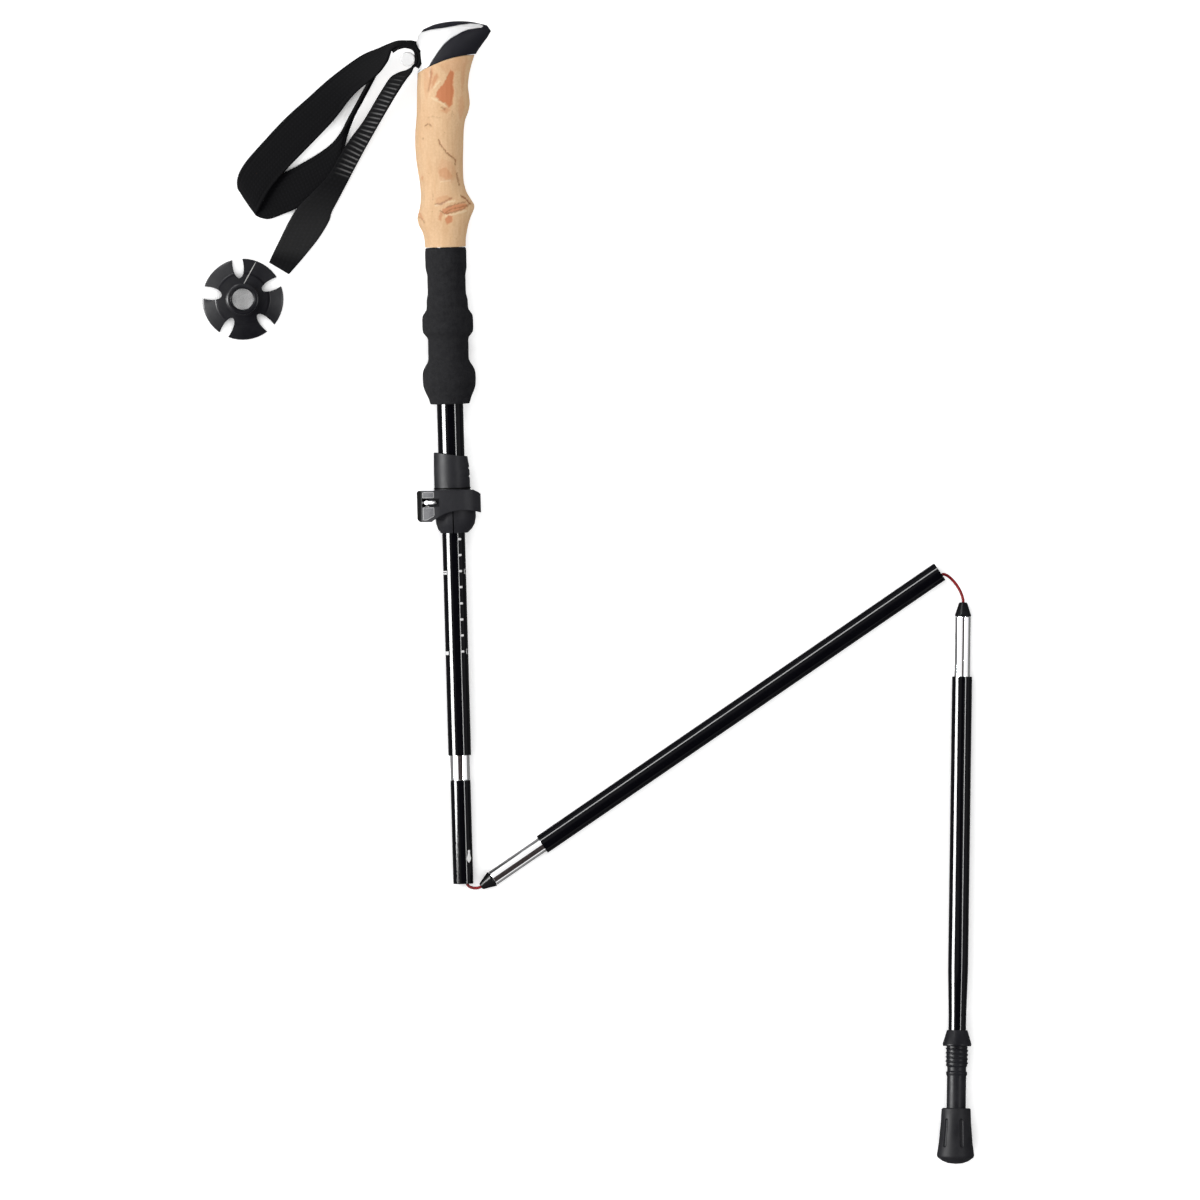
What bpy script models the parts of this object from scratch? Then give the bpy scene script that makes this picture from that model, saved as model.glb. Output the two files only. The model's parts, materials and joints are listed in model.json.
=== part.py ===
"""A folding trail running pole, laid open on the ground in its zigzag, with its strap and a loose basket.

The pole is three aluminium sections on one tensioned cord. The upper section carries the grip and
telescopes through a flip lock, and below it a short sliding tube tensions the cord. Lengths here are
in millimetres, and MM turns them into metres. Every section is modelled upright in its own frame:
+X right, -Y towards the viewer and +Z up the pole. Its empty then lays it down on the ground, z = 0.
"""
import math

import bmesh
import bpy
from mathutils import Matrix, Vector

MM = 0.001

# Clearances
FIT = 0.3            # between any two pieces that touch or slide
HALF_FIT = 0.15      # each side's share where a joint line runs through one moulding

# Tubes: outer radii and walls
UPPER_RADIUS = 8.2
SCALE_RADIUS = 7.1
SLIDER_RADIUS = 6.0
SECTION_RADIUS = 6.25
TUBE_WALL = 0.8
INSERT_RADIUS = 4.8
INSERT_WALL = 0.7

# Heights along the upper section, from the mouth of its last tube up to the head
SOCKET_LENGTH = 64.6
SCALE_BOTTOM = 80.2
SCALE_LENGTH = 360.0
LOCK_BOTTOM = 219.0
LOCK_SEAT = 29.0           # the upper tube's end stands this far above the lock's lower end
FOAM_BOTTOM = 299.4
CORK_BOTTOM = 397.2
CORK_HEIGHT = 108.6
UPPER_TUBE_TOP = 523.0
UPPER_TUBE_BOTTOM = LOCK_BOTTOM + LOCK_SEAT
SLIDER_TOP = 200.0

# Lengths along the middle and lower sections, from the tip of the cone down
CONE_LENGTH = 8.8
MIDDLE_LENGTH = 347.0
LOWER_LENGTH = 350.0
INSERT_SHOWN = 37.5
INSERT_HELD = 28.0
LOWER_TUBE_SHOWN = 220.4
RUBBER_LENGTH = 34.8

# Where the sections lie on the ground, seen from above
MOUTH = Vector((-77.9, -181.7))
UPPER_LEAN = 1.59          # degrees that the upper section leans to the left
MIDDLE_RISE = 34.47        # degrees above the photograph's horizontal
LOWER_LEAN = 0.81
MIDDLE_WAY = Vector((math.cos(math.radians(MIDDLE_RISE)), math.sin(math.radians(MIDDLE_RISE))))
MIDDLE_TIP = MOUTH + Vector((11.0, -1.8))
MIDDLE_END = MIDDLE_TIP + MIDDLE_LENGTH * MIDDLE_WAY
LOWER_TIP = MIDDLE_END + Vector((14.6, -19.2))
FOLD_1 = MOUTH + Vector((5.3, 0.8))
FOLD_2 = MIDDLE_END + Vector((5.1, -8.5))
BASKET_CENTRE = Vector((-215.5, 182.8))

# The grip's widest foam ring and the rubber tip's rim keep the axes off the ground
KNOB_RADIUS = 16.6
KNOB_HEIGHT = 314.6
RUBBER_RADIUS = 11.7

CORD_RADIUS = 0.7
CORD_OFFSET = 2.4          # the cord lies this far off the axis where it leaves a tube

PARTS = "trail_running_pole"
CUTTERS = "cutters"


def clear_scene():
    for item in list(bpy.data.objects):
        bpy.data.objects.remove(item, do_unlink=True)


def collection(name):
    group = bpy.data.collections.get(name)
    if group is None:
        group = bpy.data.collections.new(name)
        bpy.context.scene.collection.children.link(group)
    return group


def material(name, colour, roughness, metallic=0.0):
    finish = bpy.data.materials.get(name)
    if finish is None:
        finish = bpy.data.materials.new(name)
        finish.use_nodes = True
        shader = finish.node_tree.nodes["Principled BSDF"]
        shader.inputs["Base Color"].default_value = (*colour, 1.0)
        shader.inputs["Roughness"].default_value = roughness
        shader.inputs["Metallic"].default_value = metallic
    return finish


def gloss_black():
    return material("gloss_black_lacquer", (0.010, 0.010, 0.012), 0.18, 0.0)


def bare_aluminium():
    return material("bare_aluminium", (0.80, 0.81, 0.82), 0.22, 1.0)


def steel():
    return material("steel", (0.62, 0.62, 0.64), 0.28, 1.0)


def lock_plastic():
    return material("lock_plastic", (0.055, 0.055, 0.060), 0.42)


def tip_plastic():
    return material("tip_plastic", (0.045, 0.045, 0.048), 0.48)


def white_plastic():
    return material("white_plastic", (0.86, 0.86, 0.86), 0.35)


def bush_plastic():
    return material("bush_plastic", (0.30, 0.30, 0.32), 0.5)


def soft_black():
    return material("soft_touch_black", (0.018, 0.018, 0.022), 0.55)


def cork():
    return material("cork", (0.72, 0.50, 0.30), 0.75)


def foam():
    return material("foam", (0.014, 0.014, 0.015), 0.95)


def rubber():
    return material("rubber", (0.040, 0.040, 0.043), 0.7)


def webbing():
    return material("webbing", (0.008, 0.008, 0.009), 0.9)


def cord_sheath():
    return material("cord_sheath", (0.55, 0.010, 0.018), 0.5)


def empty_at(name, matrix, parent=None):
    marker = bpy.data.objects.new(name, None)
    marker.empty_display_size = 0.01
    bpy.context.scene.collection.objects.link(marker)
    marker.parent = parent
    marker.matrix_world = matrix
    return marker


def section_frame(name, origin, up):
    """An empty at origin (mm) whose +Z runs up the pole and whose -Y faces the sky."""
    up = up.normalized()
    right = Vector((up.y, -up.x, 0.0)).normalized()
    away = up.cross(right)
    turn = Matrix((right, away, up)).transposed().to_4x4()
    return empty_at(name, Matrix.Translation(origin * MM) @ turn)


def mesh_object(name, points, edges, faces):
    mesh = bpy.data.meshes.new(name)
    mesh.from_pydata([Vector(point) * MM for point in points], edges, faces)
    mesh.update()
    return bpy.data.objects.new(name, mesh)


def place(item, finish, frame, at=(0.0, 0.0, 0.0), turn=(0.0, 0.0, 0.0)):
    """Gives a piece its material and its place (mm, degrees) in its section's frame."""
    collection(PARTS).objects.link(item)
    item.data.materials.append(finish)
    item.parent = frame
    item.location = Vector(at) * MM
    item.rotation_euler = [math.radians(angle) for angle in turn]
    if item.type == "MESH":
        item.data.shade_smooth()
    return item


def hide_cutter(item, frame, at=(0.0, 0.0, 0.0), turn=(0.0, 0.0, 0.0)):
    collection(CUTTERS).objects.link(item)
    item.parent = frame
    item.location = Vector(at) * MM
    item.rotation_euler = [math.radians(angle) for angle in turn]
    item.hide_render = True
    item.display_type = "WIRE"
    return item


def boolean(item, cutter, operation="DIFFERENCE"):
    step = item.modifiers.new(cutter.name, "BOOLEAN")
    step.operation = operation
    step.object = cutter
    step.solver = "EXACT"


def turned_object(name, outline, steps=32):
    """A revolved solid. The outline of (radius, height) runs down the outside, then up the bore."""
    points = [(radius, 0.0, height) for radius, height in outline]
    count = len(points)
    on_axis = outline[0][0] == 0.0 and outline[-1][0] == 0.0
    spans = count - 1 if on_axis else count
    item = mesh_object(name, points, [(i, (i + 1) % count) for i in range(spans)], [])
    screw = item.modifiers.new("turn", "SCREW")
    screw.axis = "Z"
    screw.angle = math.tau
    screw.steps = steps
    screw.render_steps = steps
    screw.use_merge_vertices = True
    screw.merge_threshold = 0.00001
    return item


def tube_outline(radius, wall, length):
    return [(radius, length), (radius, 0.0), (radius - wall, 0.0), (radius - wall, length)]


def rod_outline(radius, length):
    return [(0.0, length), (radius, length), (radius, 0.0), (0.0, 0.0)]


def box_object(name, size):
    mesh = bpy.data.meshes.new(name)
    shape = bmesh.new()
    bmesh.ops.create_cube(shape, size=1.0)
    bmesh.ops.scale(shape, vec=Vector(size) * MM, verts=shape.verts)
    shape.to_mesh(mesh)
    shape.free()
    return bpy.data.objects.new(name, mesh)


def cylinder_object(name, radius, length, segments=32):
    """A solid cylinder along Z, centred on its origin."""
    mesh = bpy.data.meshes.new(name)
    shape = bmesh.new()
    bmesh.ops.create_cone(shape, cap_ends=True, segments=segments, radius1=radius * MM,
                          radius2=radius * MM, depth=length * MM)
    shape.to_mesh(mesh)
    shape.free()
    return bpy.data.objects.new(name, mesh)


def loft_object(name, rings, bore_rings=None):
    """A closed solid through rings of points, with fan ends or with a bore inside."""
    loops = [list(ring) for ring in rings]
    count = len(loops[0])
    if bore_rings:
        loops += [list(ring) for ring in reversed(bore_rings)]
    points = [point for loop in loops for point in loop]
    faces = []
    spans = len(loops) if bore_rings else len(loops) - 1
    for level in range(spans):
        low = level * count
        high = (level + 1) % len(loops) * count
        for k in range(count):
            after = (k + 1) % count
            faces.append((low + k, low + after, high + after, high + k))
    if not bore_rings:
        for level in (0, len(loops) - 1):
            ring = loops[level]
            centre = sum((Vector(point) for point in ring), Vector()) / count
            points.append(centre)
            for k in range(count):
                faces.append((level * count + k, level * count + (k + 1) % count, len(points) - 1))
    item = mesh_object(name, points, [], faces)
    shape = bmesh.new()
    shape.from_mesh(item.data)
    bmesh.ops.recalc_face_normals(shape, faces=shape.faces)
    shape.to_mesh(item.data)
    shape.free()
    return item


def smooth_rows(rows, per_span):
    """Points of a Catmull-Rom curve through rows of numbers, per_span of them to each span."""
    result = []
    last = len(rows) - 1
    for i in range(last):
        before, start, end, after = rows[max(i - 1, 0)], rows[i], rows[i + 1], rows[min(i + 2, last)]
        for k in range(per_span):
            t = k / per_span
            result.append(tuple(
                0.5 * (2 * b + (c - a) * t + (2 * a - 5 * b + 4 * c - d) * t * t
                       + (3 * b - a - 3 * c + d) * t ** 3)
                for a, b, c, d in zip(before, start, end, after)))
    result.append(tuple(rows[last]))
    return result


def oval_ring(rear, front, viewer, ground, height, segments, power=2.0):
    """A ring round the pole's axis that reaches rear (-X), front (+X), viewer (-Y) and ground (+Y)."""
    ring = []
    for k in range(segments):
        angle = math.tau * k / segments
        side = front if math.cos(angle) > 0 else rear
        depth = ground if math.sin(angle) > 0 else viewer
        reach = depth + (side - depth) * abs(math.cos(angle)) ** power
        x = reach * math.cos(angle)
        ring.append((x, reach * math.sin(angle), height(x) if callable(height) else height))
    return ring


def round_ring(radius, height, segments):
    return oval_ring(radius, radius, radius, radius, height, segments)


def extruded_object(name, outline, thickness):
    """A flat outline in X and Z, extruded along Y and centred on it, as a closed mesh."""
    curve = bpy.data.curves.new(name, "CURVE")
    curve.dimensions = "2D"
    curve.fill_mode = "BOTH"
    curve.extrude = thickness / 2 * MM
    spline = curve.splines.new("POLY")
    spline.points.add(len(outline) - 1)
    for point, (x, z) in zip(spline.points, outline):
        point.co = (x * MM, z * MM, 0.0, 1.0)
    spline.use_cyclic_u = True
    flat = bpy.data.objects.new(name, curve)
    bpy.context.scene.collection.objects.link(flat)
    flat.rotation_euler = (math.pi / 2, 0.0, 0.0)
    bpy.context.view_layer.update()
    solid = bpy.data.meshes.new_from_object(flat.evaluated_get(bpy.context.evaluated_depsgraph_get()))
    solid.transform(flat.matrix_world)
    shape = bmesh.new()
    shape.from_mesh(solid)
    bmesh.ops.remove_doubles(shape, verts=shape.verts, dist=0.000001)
    bmesh.ops.recalc_face_normals(shape, faces=shape.faces)
    shape.to_mesh(solid)
    shape.free()
    bpy.data.objects.remove(flat, do_unlink=True)
    return bpy.data.objects.new(name, solid)


def grown_outline(outline, distance):
    """The outline moved outwards by distance along its corners' normals. It runs anticlockwise."""
    grown = []
    count = len(outline)
    for i in range(count):
        before, here, after = (Vector(outline[(i + step) % count]) for step in (-1, 0, 1))
        first = (here - before).normalized()
        second = (after - here).normalized()
        normal = Vector((first.y + second.y, -first.x - second.x)).normalized()
        grown.append(tuple(here + normal * distance))
    return grown


def cord_object(name, points, radius=CORD_RADIUS, sides=2):
    curve = bpy.data.curves.new(name, "CURVE")
    curve.dimensions = "3D"
    curve.bevel_depth = radius * MM
    curve.bevel_resolution = sides
    curve.use_fill_caps = True
    spline = curve.splines.new("POLY")
    spline.points.add(len(points) - 1)
    for place_on_curve, point in zip(spline.points, points):
        place_on_curve.co = (*(Vector(point) * MM), 1.0)
    return bpy.data.objects.new(name, curve)


def ribbon_object(name, stations, thickness, per_span=3, columns=2):
    """A strap: a sheet through pairs of edge points, made solid to its thickness."""
    rows = smooth_rows([(*left, *right) for left, right in stations], per_span)
    points = []
    for row in rows:
        left, right = Vector(row[:3]), Vector(row[3:])
        points += [left.lerp(right, k / columns) for k in range(columns + 1)]
    width = columns + 1
    faces = []
    for i in range(len(rows) - 1):
        for k in range(columns):
            corner = i * width + k
            faces.append((corner, corner + 1, corner + width + 1, corner + width))
    item = mesh_object(name, points, [], faces)
    skin = item.modifiers.new("thickness", "SOLIDIFY")
    skin.thickness = thickness * MM
    skin.offset = 0.0
    skin.use_even_offset = True
    return item


# The head: a white core with a black soft-touch cover over its beak, its sides and its crown.
# Each row is one slice of the head: rear x, rear height, front x, front height, middle height, depth
HEAD_SLICES = [
    (-14.3, 506.6, 22.2, 516.9, 514.3, 14.9),
    (-15.0, 511.5, 24.0, 519.7, 517.6, 16.0),
    (-15.4, 517.5, 26.8, 523.4, 523.2, 16.6),
    (-14.9, 524.0, 29.8, 527.2, 529.0, 16.0),
    (-13.2, 529.6, 32.1, 531.0, 533.6, 14.0),
    (-9.8, 533.3, 29.6, 534.6, 536.2, 10.6),
    (-4.0, 535.7, 21.5, 536.7, 537.6, 5.6),
]
HEAD_SKIN = 2.4
HEAD_SEGMENTS = 28
STRAP_PIN_X = -20.3
STRAP_PIN_HEIGHT = HEAD_SLICES[0][1] + 8.2
STRAP_PIN_RADIUS = 1.5
STRAP_BUSH_RADIUS = 4.4
WEBBING_AT_PIN = 16.0
BUSH_CAP = 1.4
LUG_THICKNESS = 3.6
LUG_TRIM = 0.5             # the strap pocket cuts this much off the lug's inner face
LUG_GAP = WEBBING_AT_PIN + 1.2
BIGHT_RADIUS = 9.1

# The black cover's outline in the side view: the thin blade over the crown, then the side panel
COVER_OUTLINE = [
    (-12.9, 530.8), (-5.4, 532.7), (3.1, 533.9), (12.7, 535.3), (19.5, 535.9), (25.2, 535.3),
    (27.4, 534.2), (25.8, 533.3), (18.0, 532.4), (13.9, 531.0), (6.8, 527.2), (2.4, 523.5),
    (-0.7, 519.8), (-3.4, 516.0), (-5.9, 512.3), (-8.0, 508.0), (40.0, 500.0), (40.0, 545.0),
    (-16.0, 545.0),
]


def head_ring(index, inset, scale=1.0):
    """The ring of points round one slice of the head, drawn in by inset and scaled about its middle."""
    rear, rear_height, front, front_height, middle, depth = HEAD_SLICES[index]
    lift = inset * (1.0 - 2.0 * index / (len(HEAD_SLICES) - 1))
    rear, front, depth = rear + inset, front - inset, depth - inset
    mean = (rear_height + front_height) / 2
    ring = []
    for k in range(HEAD_SEGMENTS):
        angle = math.tau * k / HEAD_SEGMENTS
        along = scale * math.cos(angle)
        height = mean + (front_height - rear_height) / 2 * along + (middle - mean) * (1 - along * along)
        ring.append(Vector(((rear + front) / 2 + (front - rear) / 2 * along,
                            scale * depth * math.sin(angle), height + lift)))
    return ring


def head_dome(name, inset):
    rings = [head_ring(0, inset, 0.35), head_ring(0, inset, 0.7)]
    for index in range(len(HEAD_SLICES) - 1):
        low, high = head_ring(index, inset), head_ring(index + 1, inset)
        for t in (0.0, 0.5):
            rings.append([a.lerp(b, t) for a, b in zip(low, high)])
    last = len(HEAD_SLICES) - 1
    rings += [head_ring(last, inset), head_ring(last, inset, 0.5)]
    return loft_object(name, rings)


def build_head(frame):
    core = place(head_dome("head_core", 0.0), white_plastic(), frame)
    cover = place(head_dome("head_cover", 0.0), soft_black(), frame)
    depth = 60.0
    pocket = hide_cutter(
        extruded_object("cover_pocket", grown_outline(COVER_OUTLINE, HALF_FIT), depth), frame)
    region = hide_cutter(
        extruded_object("cover_region", grown_outline(COVER_OUTLINE, -HALF_FIT), depth), frame)
    boss = hide_cutter(head_dome("core_under_cover", HEAD_SKIN + FIT), frame)
    hollow = hide_cutter(head_dome("cover_hollow", HEAD_SKIN), frame)
    bore_length = 44.0
    bore = hide_cutter(
        cylinder_object("head_bore", UPPER_RADIUS + FIT, bore_length), frame,
        (0.0, 0.0, UPPER_TUBE_TOP + FIT - bore_length / 2))
    bight = hide_cutter(
        cylinder_object("strap_pocket", BIGHT_RADIUS + 0.6, LUG_GAP), frame,
        (STRAP_PIN_X, 0.0, STRAP_PIN_HEIGHT), (90.0, 0.0, 0.0))
    pin_hole = hide_cutter(
        cylinder_object("strap_pin_hole", STRAP_PIN_RADIUS + FIT, depth, 20), frame,
        (STRAP_PIN_X, 0.0, STRAP_PIN_HEIGHT), (90.0, 0.0, 0.0))
    boolean(core, pocket)
    boolean(core, boss, "UNION")
    lug = hide_cutter(extruded_object("strap_lug", lug_outline(), LUG_THICKNESS + LUG_TRIM), frame,
                      (0.0, (LUG_GAP + LUG_THICKNESS - LUG_TRIM) / 2, 0.0))
    boolean(core, lug, "UNION")
    boolean(core, bight)
    boolean(core, bore)
    boolean(core, pin_hole)
    boolean(cover, region, "INTERSECT")
    boolean(cover, hollow)
    boolean(cover, bore)
    pin_end = LUG_GAP / 2 + LUG_THICKNESS - FIT
    pin_length = pin_end + LUG_GAP / 2 - FIT - BUSH_CAP - FIT
    place(turned_object("strap_pin", rod_outline(STRAP_PIN_RADIUS, pin_length), 20), steel(), frame,
          (STRAP_PIN_X, pin_end, STRAP_PIN_HEIGHT), (90.0, 0.0, 0.0))


def lug_outline():
    """The strap lug in the side view: a tongue from the head's flank with a round eye for the pin."""
    eye = 3.1
    neck = 2.6
    outline = []
    for k in range(13):
        angle = math.radians(60.0 + 20.0 * k)
        outline.append((STRAP_PIN_X + eye * math.cos(angle), STRAP_PIN_HEIGHT + eye * math.sin(angle)))
    outline += [(-13.0, STRAP_PIN_HEIGHT - neck), (-8.5, STRAP_PIN_HEIGHT - neck)]
    outline += [(-8.5, STRAP_PIN_HEIGHT + 1.7 * neck), (-13.0, STRAP_PIN_HEIGHT + neck)]
    return outline


# The cork grip: rear reach, front reach and depth at heights above its lower end
CORK_ROWS = [
    (0.0, 12.7, 12.6, 12.5), (5.0, 12.9, 12.7, 12.6), (9.5, 13.9, 13.6, 12.9),
    (14.0, 16.3, 14.6, 13.3), (19.0, 17.2, 16.4, 13.5), (22.5, 16.0, 18.2, 13.6),
    (25.5, 15.2, 19.0, 13.5), (29.0, 14.6, 16.8, 13.3), (34.0, 14.4, 13.9, 13.1),
    (40.0, 14.8, 12.4, 13.0), (47.0, 15.8, 12.2, 13.2), (55.0, 16.8, 12.4, 13.6),
    (64.0, 17.2, 12.9, 14.0), (72.0, 16.9, 13.3, 14.3), (78.5, 16.2, 14.2, 14.5),
    (84.0, 15.6, 16.6, 14.6), (89.0, 15.4, 17.7, 14.7), (94.0, 15.2, 17.3, 14.8),
    (100.0, 15.0, 16.7, 14.9),
]
CORK_RIM = (14.4, 21.4, 14.9)      # reach at the slanted rim under the head
CORK_SEGMENTS = 32


def rim_height(x):
    """The slanted, bowed seam between cork and head, in heights above the cork's lower end."""
    return CORK_HEIGHT + 6.9 + 0.348 * x - 0.008 * x * x


def build_cork(frame):
    rings = []
    for height, rear, front, depth in smooth_rows(CORK_ROWS, 1):
        rings.append(oval_ring(rear, front, depth, depth, height, CORK_SEGMENTS))
    rear, front, depth = CORK_ROWS[-1][1:]
    rim_rear, rim_front, rim_depth = CORK_RIM
    last = CORK_ROWS[-1][0]
    for t in (0.34, 0.67, 1.0):
        def blend(x, t=t):
            return last + (rim_height(x) - last) * t
        rings.append(oval_ring(rear + (rim_rear - rear) * t, front + (rim_front - front) * t ** 1.6,
                               depth, rim_depth, blend, CORK_SEGMENTS))
    bore = [round_ring(UPPER_RADIUS + FIT, 0.0, CORK_SEGMENTS),
            round_ring(UPPER_RADIUS + FIT, rim_height, CORK_SEGMENTS)]
    place(loft_object("cork_grip", rings, bore), cork(), frame, (0.0, 0.0, CORK_BOTTOM))


# The foam sleeve: radius and height above its lower end, from the top down
FOAM_HEIGHT = CORK_BOTTOM - FIT - FOAM_BOTTOM
FOAM_OUTLINE = [
    (11.9, FOAM_HEIGHT), (12.7, 97.1), (12.9, 95.0), (12.8, 84.5), (12.6, 83.0), (11.9, 81.5),
    (11.9, 69.0), (12.1, 67.2), (12.8, 65.6), (12.9, 60.0), (13.4, 57.6), (15.4, 56.4),
    (15.9, 53.0), (15.9, 47.0), (15.4, 43.6), (13.0, 42.4), (12.6, 40.6), (12.6, 28.0),
    (13.0, 26.2), (14.9, 23.6), (16.4, 20.4), (KNOB_RADIUS, 15.5), (16.3, 11.0), (15.0, 7.4),
    (13.3, 4.0), (12.6, 1.2), (12.0, 0.0),
]


def build_grip(frame):
    build_cork(frame)
    bore = UPPER_RADIUS + FIT
    foam_outline = FOAM_OUTLINE + [(bore, 0.0), (bore, FOAM_HEIGHT)]
    place(turned_object("foam_grip", foam_outline), foam(), frame, (0.0, 0.0, FOAM_BOTTOM))
    length = UPPER_TUBE_TOP - UPPER_TUBE_BOTTOM
    place(turned_object("upper_tube", tube_outline(UPPER_RADIUS, TUBE_WALL, length)), gloss_black(), frame,
          (0.0, 0.0, UPPER_TUBE_BOTTOM))


# The flip lock: a split collar, a lever that wraps round its front, and the eye bolt between them.
# Its heights are measured from its own lower end.
LOCK_SLICES = [
    # height, rear, front, viewer, ground
    (0.0, 7.9, 9.0, 8.4, 8.4), (2.5, 9.6, 11.6, 10.2, 9.8), (5.5, 10.6, 13.4, 12.0, 11.0),
    (9.5, 11.0, 14.2, 13.0, 11.8), (17.0, 11.0, 14.2, 13.3, 12.0), (22.0, 11.2, 14.0, 13.2, 12.0),
    (25.8, 11.4, 12.2, 12.2, 11.8), (27.0, 11.4, 11.2, 11.6, 11.4), (27.6, 11.2, 11.1, 11.2, 11.2),
    (34.0, 11.2, 11.1, 11.2, 11.2), (35.0, 11.2, 10.6, 11.1, 11.1), (36.0, 11.2, 11.1, 11.1, 11.1),
    (39.0, 11.2, 11.0, 11.1, 11.1), (40.0, 11.2, 10.4, 11.1, 11.1), (41.2, 11.2, 10.9, 11.0, 11.0),
    (45.5, 11.1, 10.2, 10.9, 10.9),
]
LOCK_RIM = 48.8
LOCK_SEGMENTS = 32
SLIT_WIDTH = 0.7
SLIT_TOP = 24.0
LEVER_PIN_X = -18.7
LEVER_PIN_Y = -9.9
LEVER_PIN_RADIUS = 1.2
LEVER_EYE = 3.5
BOLT_HEIGHT = 19.5
LEVER_BELOW = 12.0         # the lever reaches this far below and above the bolt
LEVER_ABOVE = 7.4
LEVER_REACH = 17.5
BOLT_EYE = 2.6
BOLT_EYE_THICKNESS = 4.6
BOLT_RADIUS = 1.6
WINDOW_HALF = 2.6
WINDOW_WIDTH = 10.8
NUT_FACE = 6.6
NUT_RADIUS = 2.9
NUT_LENGTH = 2.6
CUTTER_REACH = 60.0        # long enough to pass right through the lock


def lock_rim(x):
    """The collar's top edge slopes down towards the front."""
    return LOCK_RIM - 0.14 * x


def build_lock(frame):
    rings = [oval_ring(rear, front, viewer, ground, height, LOCK_SEGMENTS)
             for height, rear, front, viewer, ground in LOCK_SLICES]
    rings.append(oval_ring(11.0, 10.0, 10.8, 10.8, lock_rim, LOCK_SEGMENTS))
    upper_seat = UPPER_RADIUS + FIT
    lower_bore = SCALE_RADIUS + FIT
    shoulder = LOCK_SEAT - FIT
    bore = [round_ring(lower_bore, 0.0, LOCK_SEGMENTS),
            round_ring(lower_bore, shoulder, LOCK_SEGMENTS),
            round_ring(upper_seat, shoulder, LOCK_SEGMENTS),
            round_ring(upper_seat, lock_rim, LOCK_SEGMENTS)]
    body = place(loft_object("lock_body", rings, bore), lock_plastic(), frame)
    cheek_width, cheek_depth, cheek_trim = 10.0, 9.1, 1.5
    cheek_left = LEVER_PIN_X + LEVER_EYE + FIT
    cheek_height = LEVER_ABOVE + LEVER_BELOW - 2 * cheek_trim
    cheek = hide_cutter(
        box_object("lock_cheek", (cheek_width, cheek_depth, cheek_height)), frame,
        (cheek_left + cheek_width / 2, LEVER_PIN_Y + 2.45, BOLT_HEIGHT + (LEVER_ABOVE - LEVER_BELOW) / 2))
    bore_again = hide_cutter(cylinder_object("lock_bore", lower_bore, CUTTER_REACH, LOCK_SEGMENTS), frame,
                             (0.0, 0.0, shoulder - CUTTER_REACH / 2))
    slit_depth = 12.0
    slit = hide_cutter(box_object("lock_slit", (SLIT_WIDTH, slit_depth, 2 * SLIT_TOP)), frame,
                       (0.0, -SCALE_RADIUS + 2.0 - slit_depth / 2, 0.0))
    bolt_hole = hide_cutter(cylinder_object("bolt_hole", BOLT_RADIUS + FIT, CUTTER_REACH, 20), frame,
                            (10.0, LEVER_PIN_Y, BOLT_HEIGHT), (0.0, 90.0, 0.0))
    nut_depth = 20.0
    nut_seat = hide_cutter(
        box_object("nut_seat", (nut_depth, 2 * NUT_RADIUS + 2.2, 2 * NUT_RADIUS + 1.2)), frame,
        (NUT_FACE + nut_depth / 2, LEVER_PIN_Y - 0.6, BOLT_HEIGHT))
    boolean(body, cheek, "UNION")
    boolean(body, bore_again)
    boolean(body, slit)
    boolean(body, bolt_hole)
    boolean(body, nut_seat)
    build_lever(frame)
    build_bolt(frame)


def build_bolt(frame):
    """An eye bolt: the ring turns on the lever's pin and the shank runs through the collar's slit."""
    shank_length = NUT_FACE + NUT_LENGTH + 0.8 - LEVER_PIN_X
    bolt = place(cylinder_object("lock_bolt", BOLT_EYE, BOLT_EYE_THICKNESS, 24), steel(), frame,
                 (LEVER_PIN_X, LEVER_PIN_Y, BOLT_HEIGHT))
    shank = hide_cutter(cylinder_object("bolt_shank", BOLT_RADIUS, shank_length, 16), frame,
                        (LEVER_PIN_X + shank_length / 2, LEVER_PIN_Y, BOLT_HEIGHT), (0.0, 90.0, 0.0))
    eye = hide_cutter(cylinder_object("bolt_eye", LEVER_PIN_RADIUS + FIT, 2 * BOLT_EYE_THICKNESS, 20),
                      frame, (LEVER_PIN_X, LEVER_PIN_Y, BOLT_HEIGHT))
    boolean(bolt, shank, "UNION")
    boolean(bolt, eye)
    nut_outline = tube_outline(NUT_RADIUS, NUT_RADIUS - BOLT_RADIUS - FIT, NUT_LENGTH)
    place(turned_object("lock_nut", nut_outline, 6), steel(), frame,
          (NUT_FACE + FIT, LEVER_PIN_Y, BOLT_HEIGHT), (0.0, 90.0, 0.0))


def lever_outline():
    """The lever seen along the pole: eye at the left, band over the front, hook at the right."""
    pin = Vector((LEVER_PIN_X, LEVER_PIN_Y))
    outline = []
    for k in range(10):
        angle = math.radians(40.0 + 23.0 * k)
        outline.append(tuple(pin + LEVER_EYE * Vector((math.cos(angle), math.sin(angle)))))
    outline += [(-14.0, -15.6), (-8.0, -16.6), (0.0, -17.0), (7.0, -16.5), (12.5, -14.2),
                (16.0, -10.4), (17.4, -5.6), (LEVER_REACH, 0.5), (16.9, 3.0), (15.8, 3.4), (15.0, 1.0),
                (14.7, -4.5), (13.2, -9.0), (10.2, -12.4), (5.6, -13.9), (0.0, -14.0),
                (-8.0, -13.8), (-13.2, -13.4), (-15.3, -12.2)]
    return outline


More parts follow.
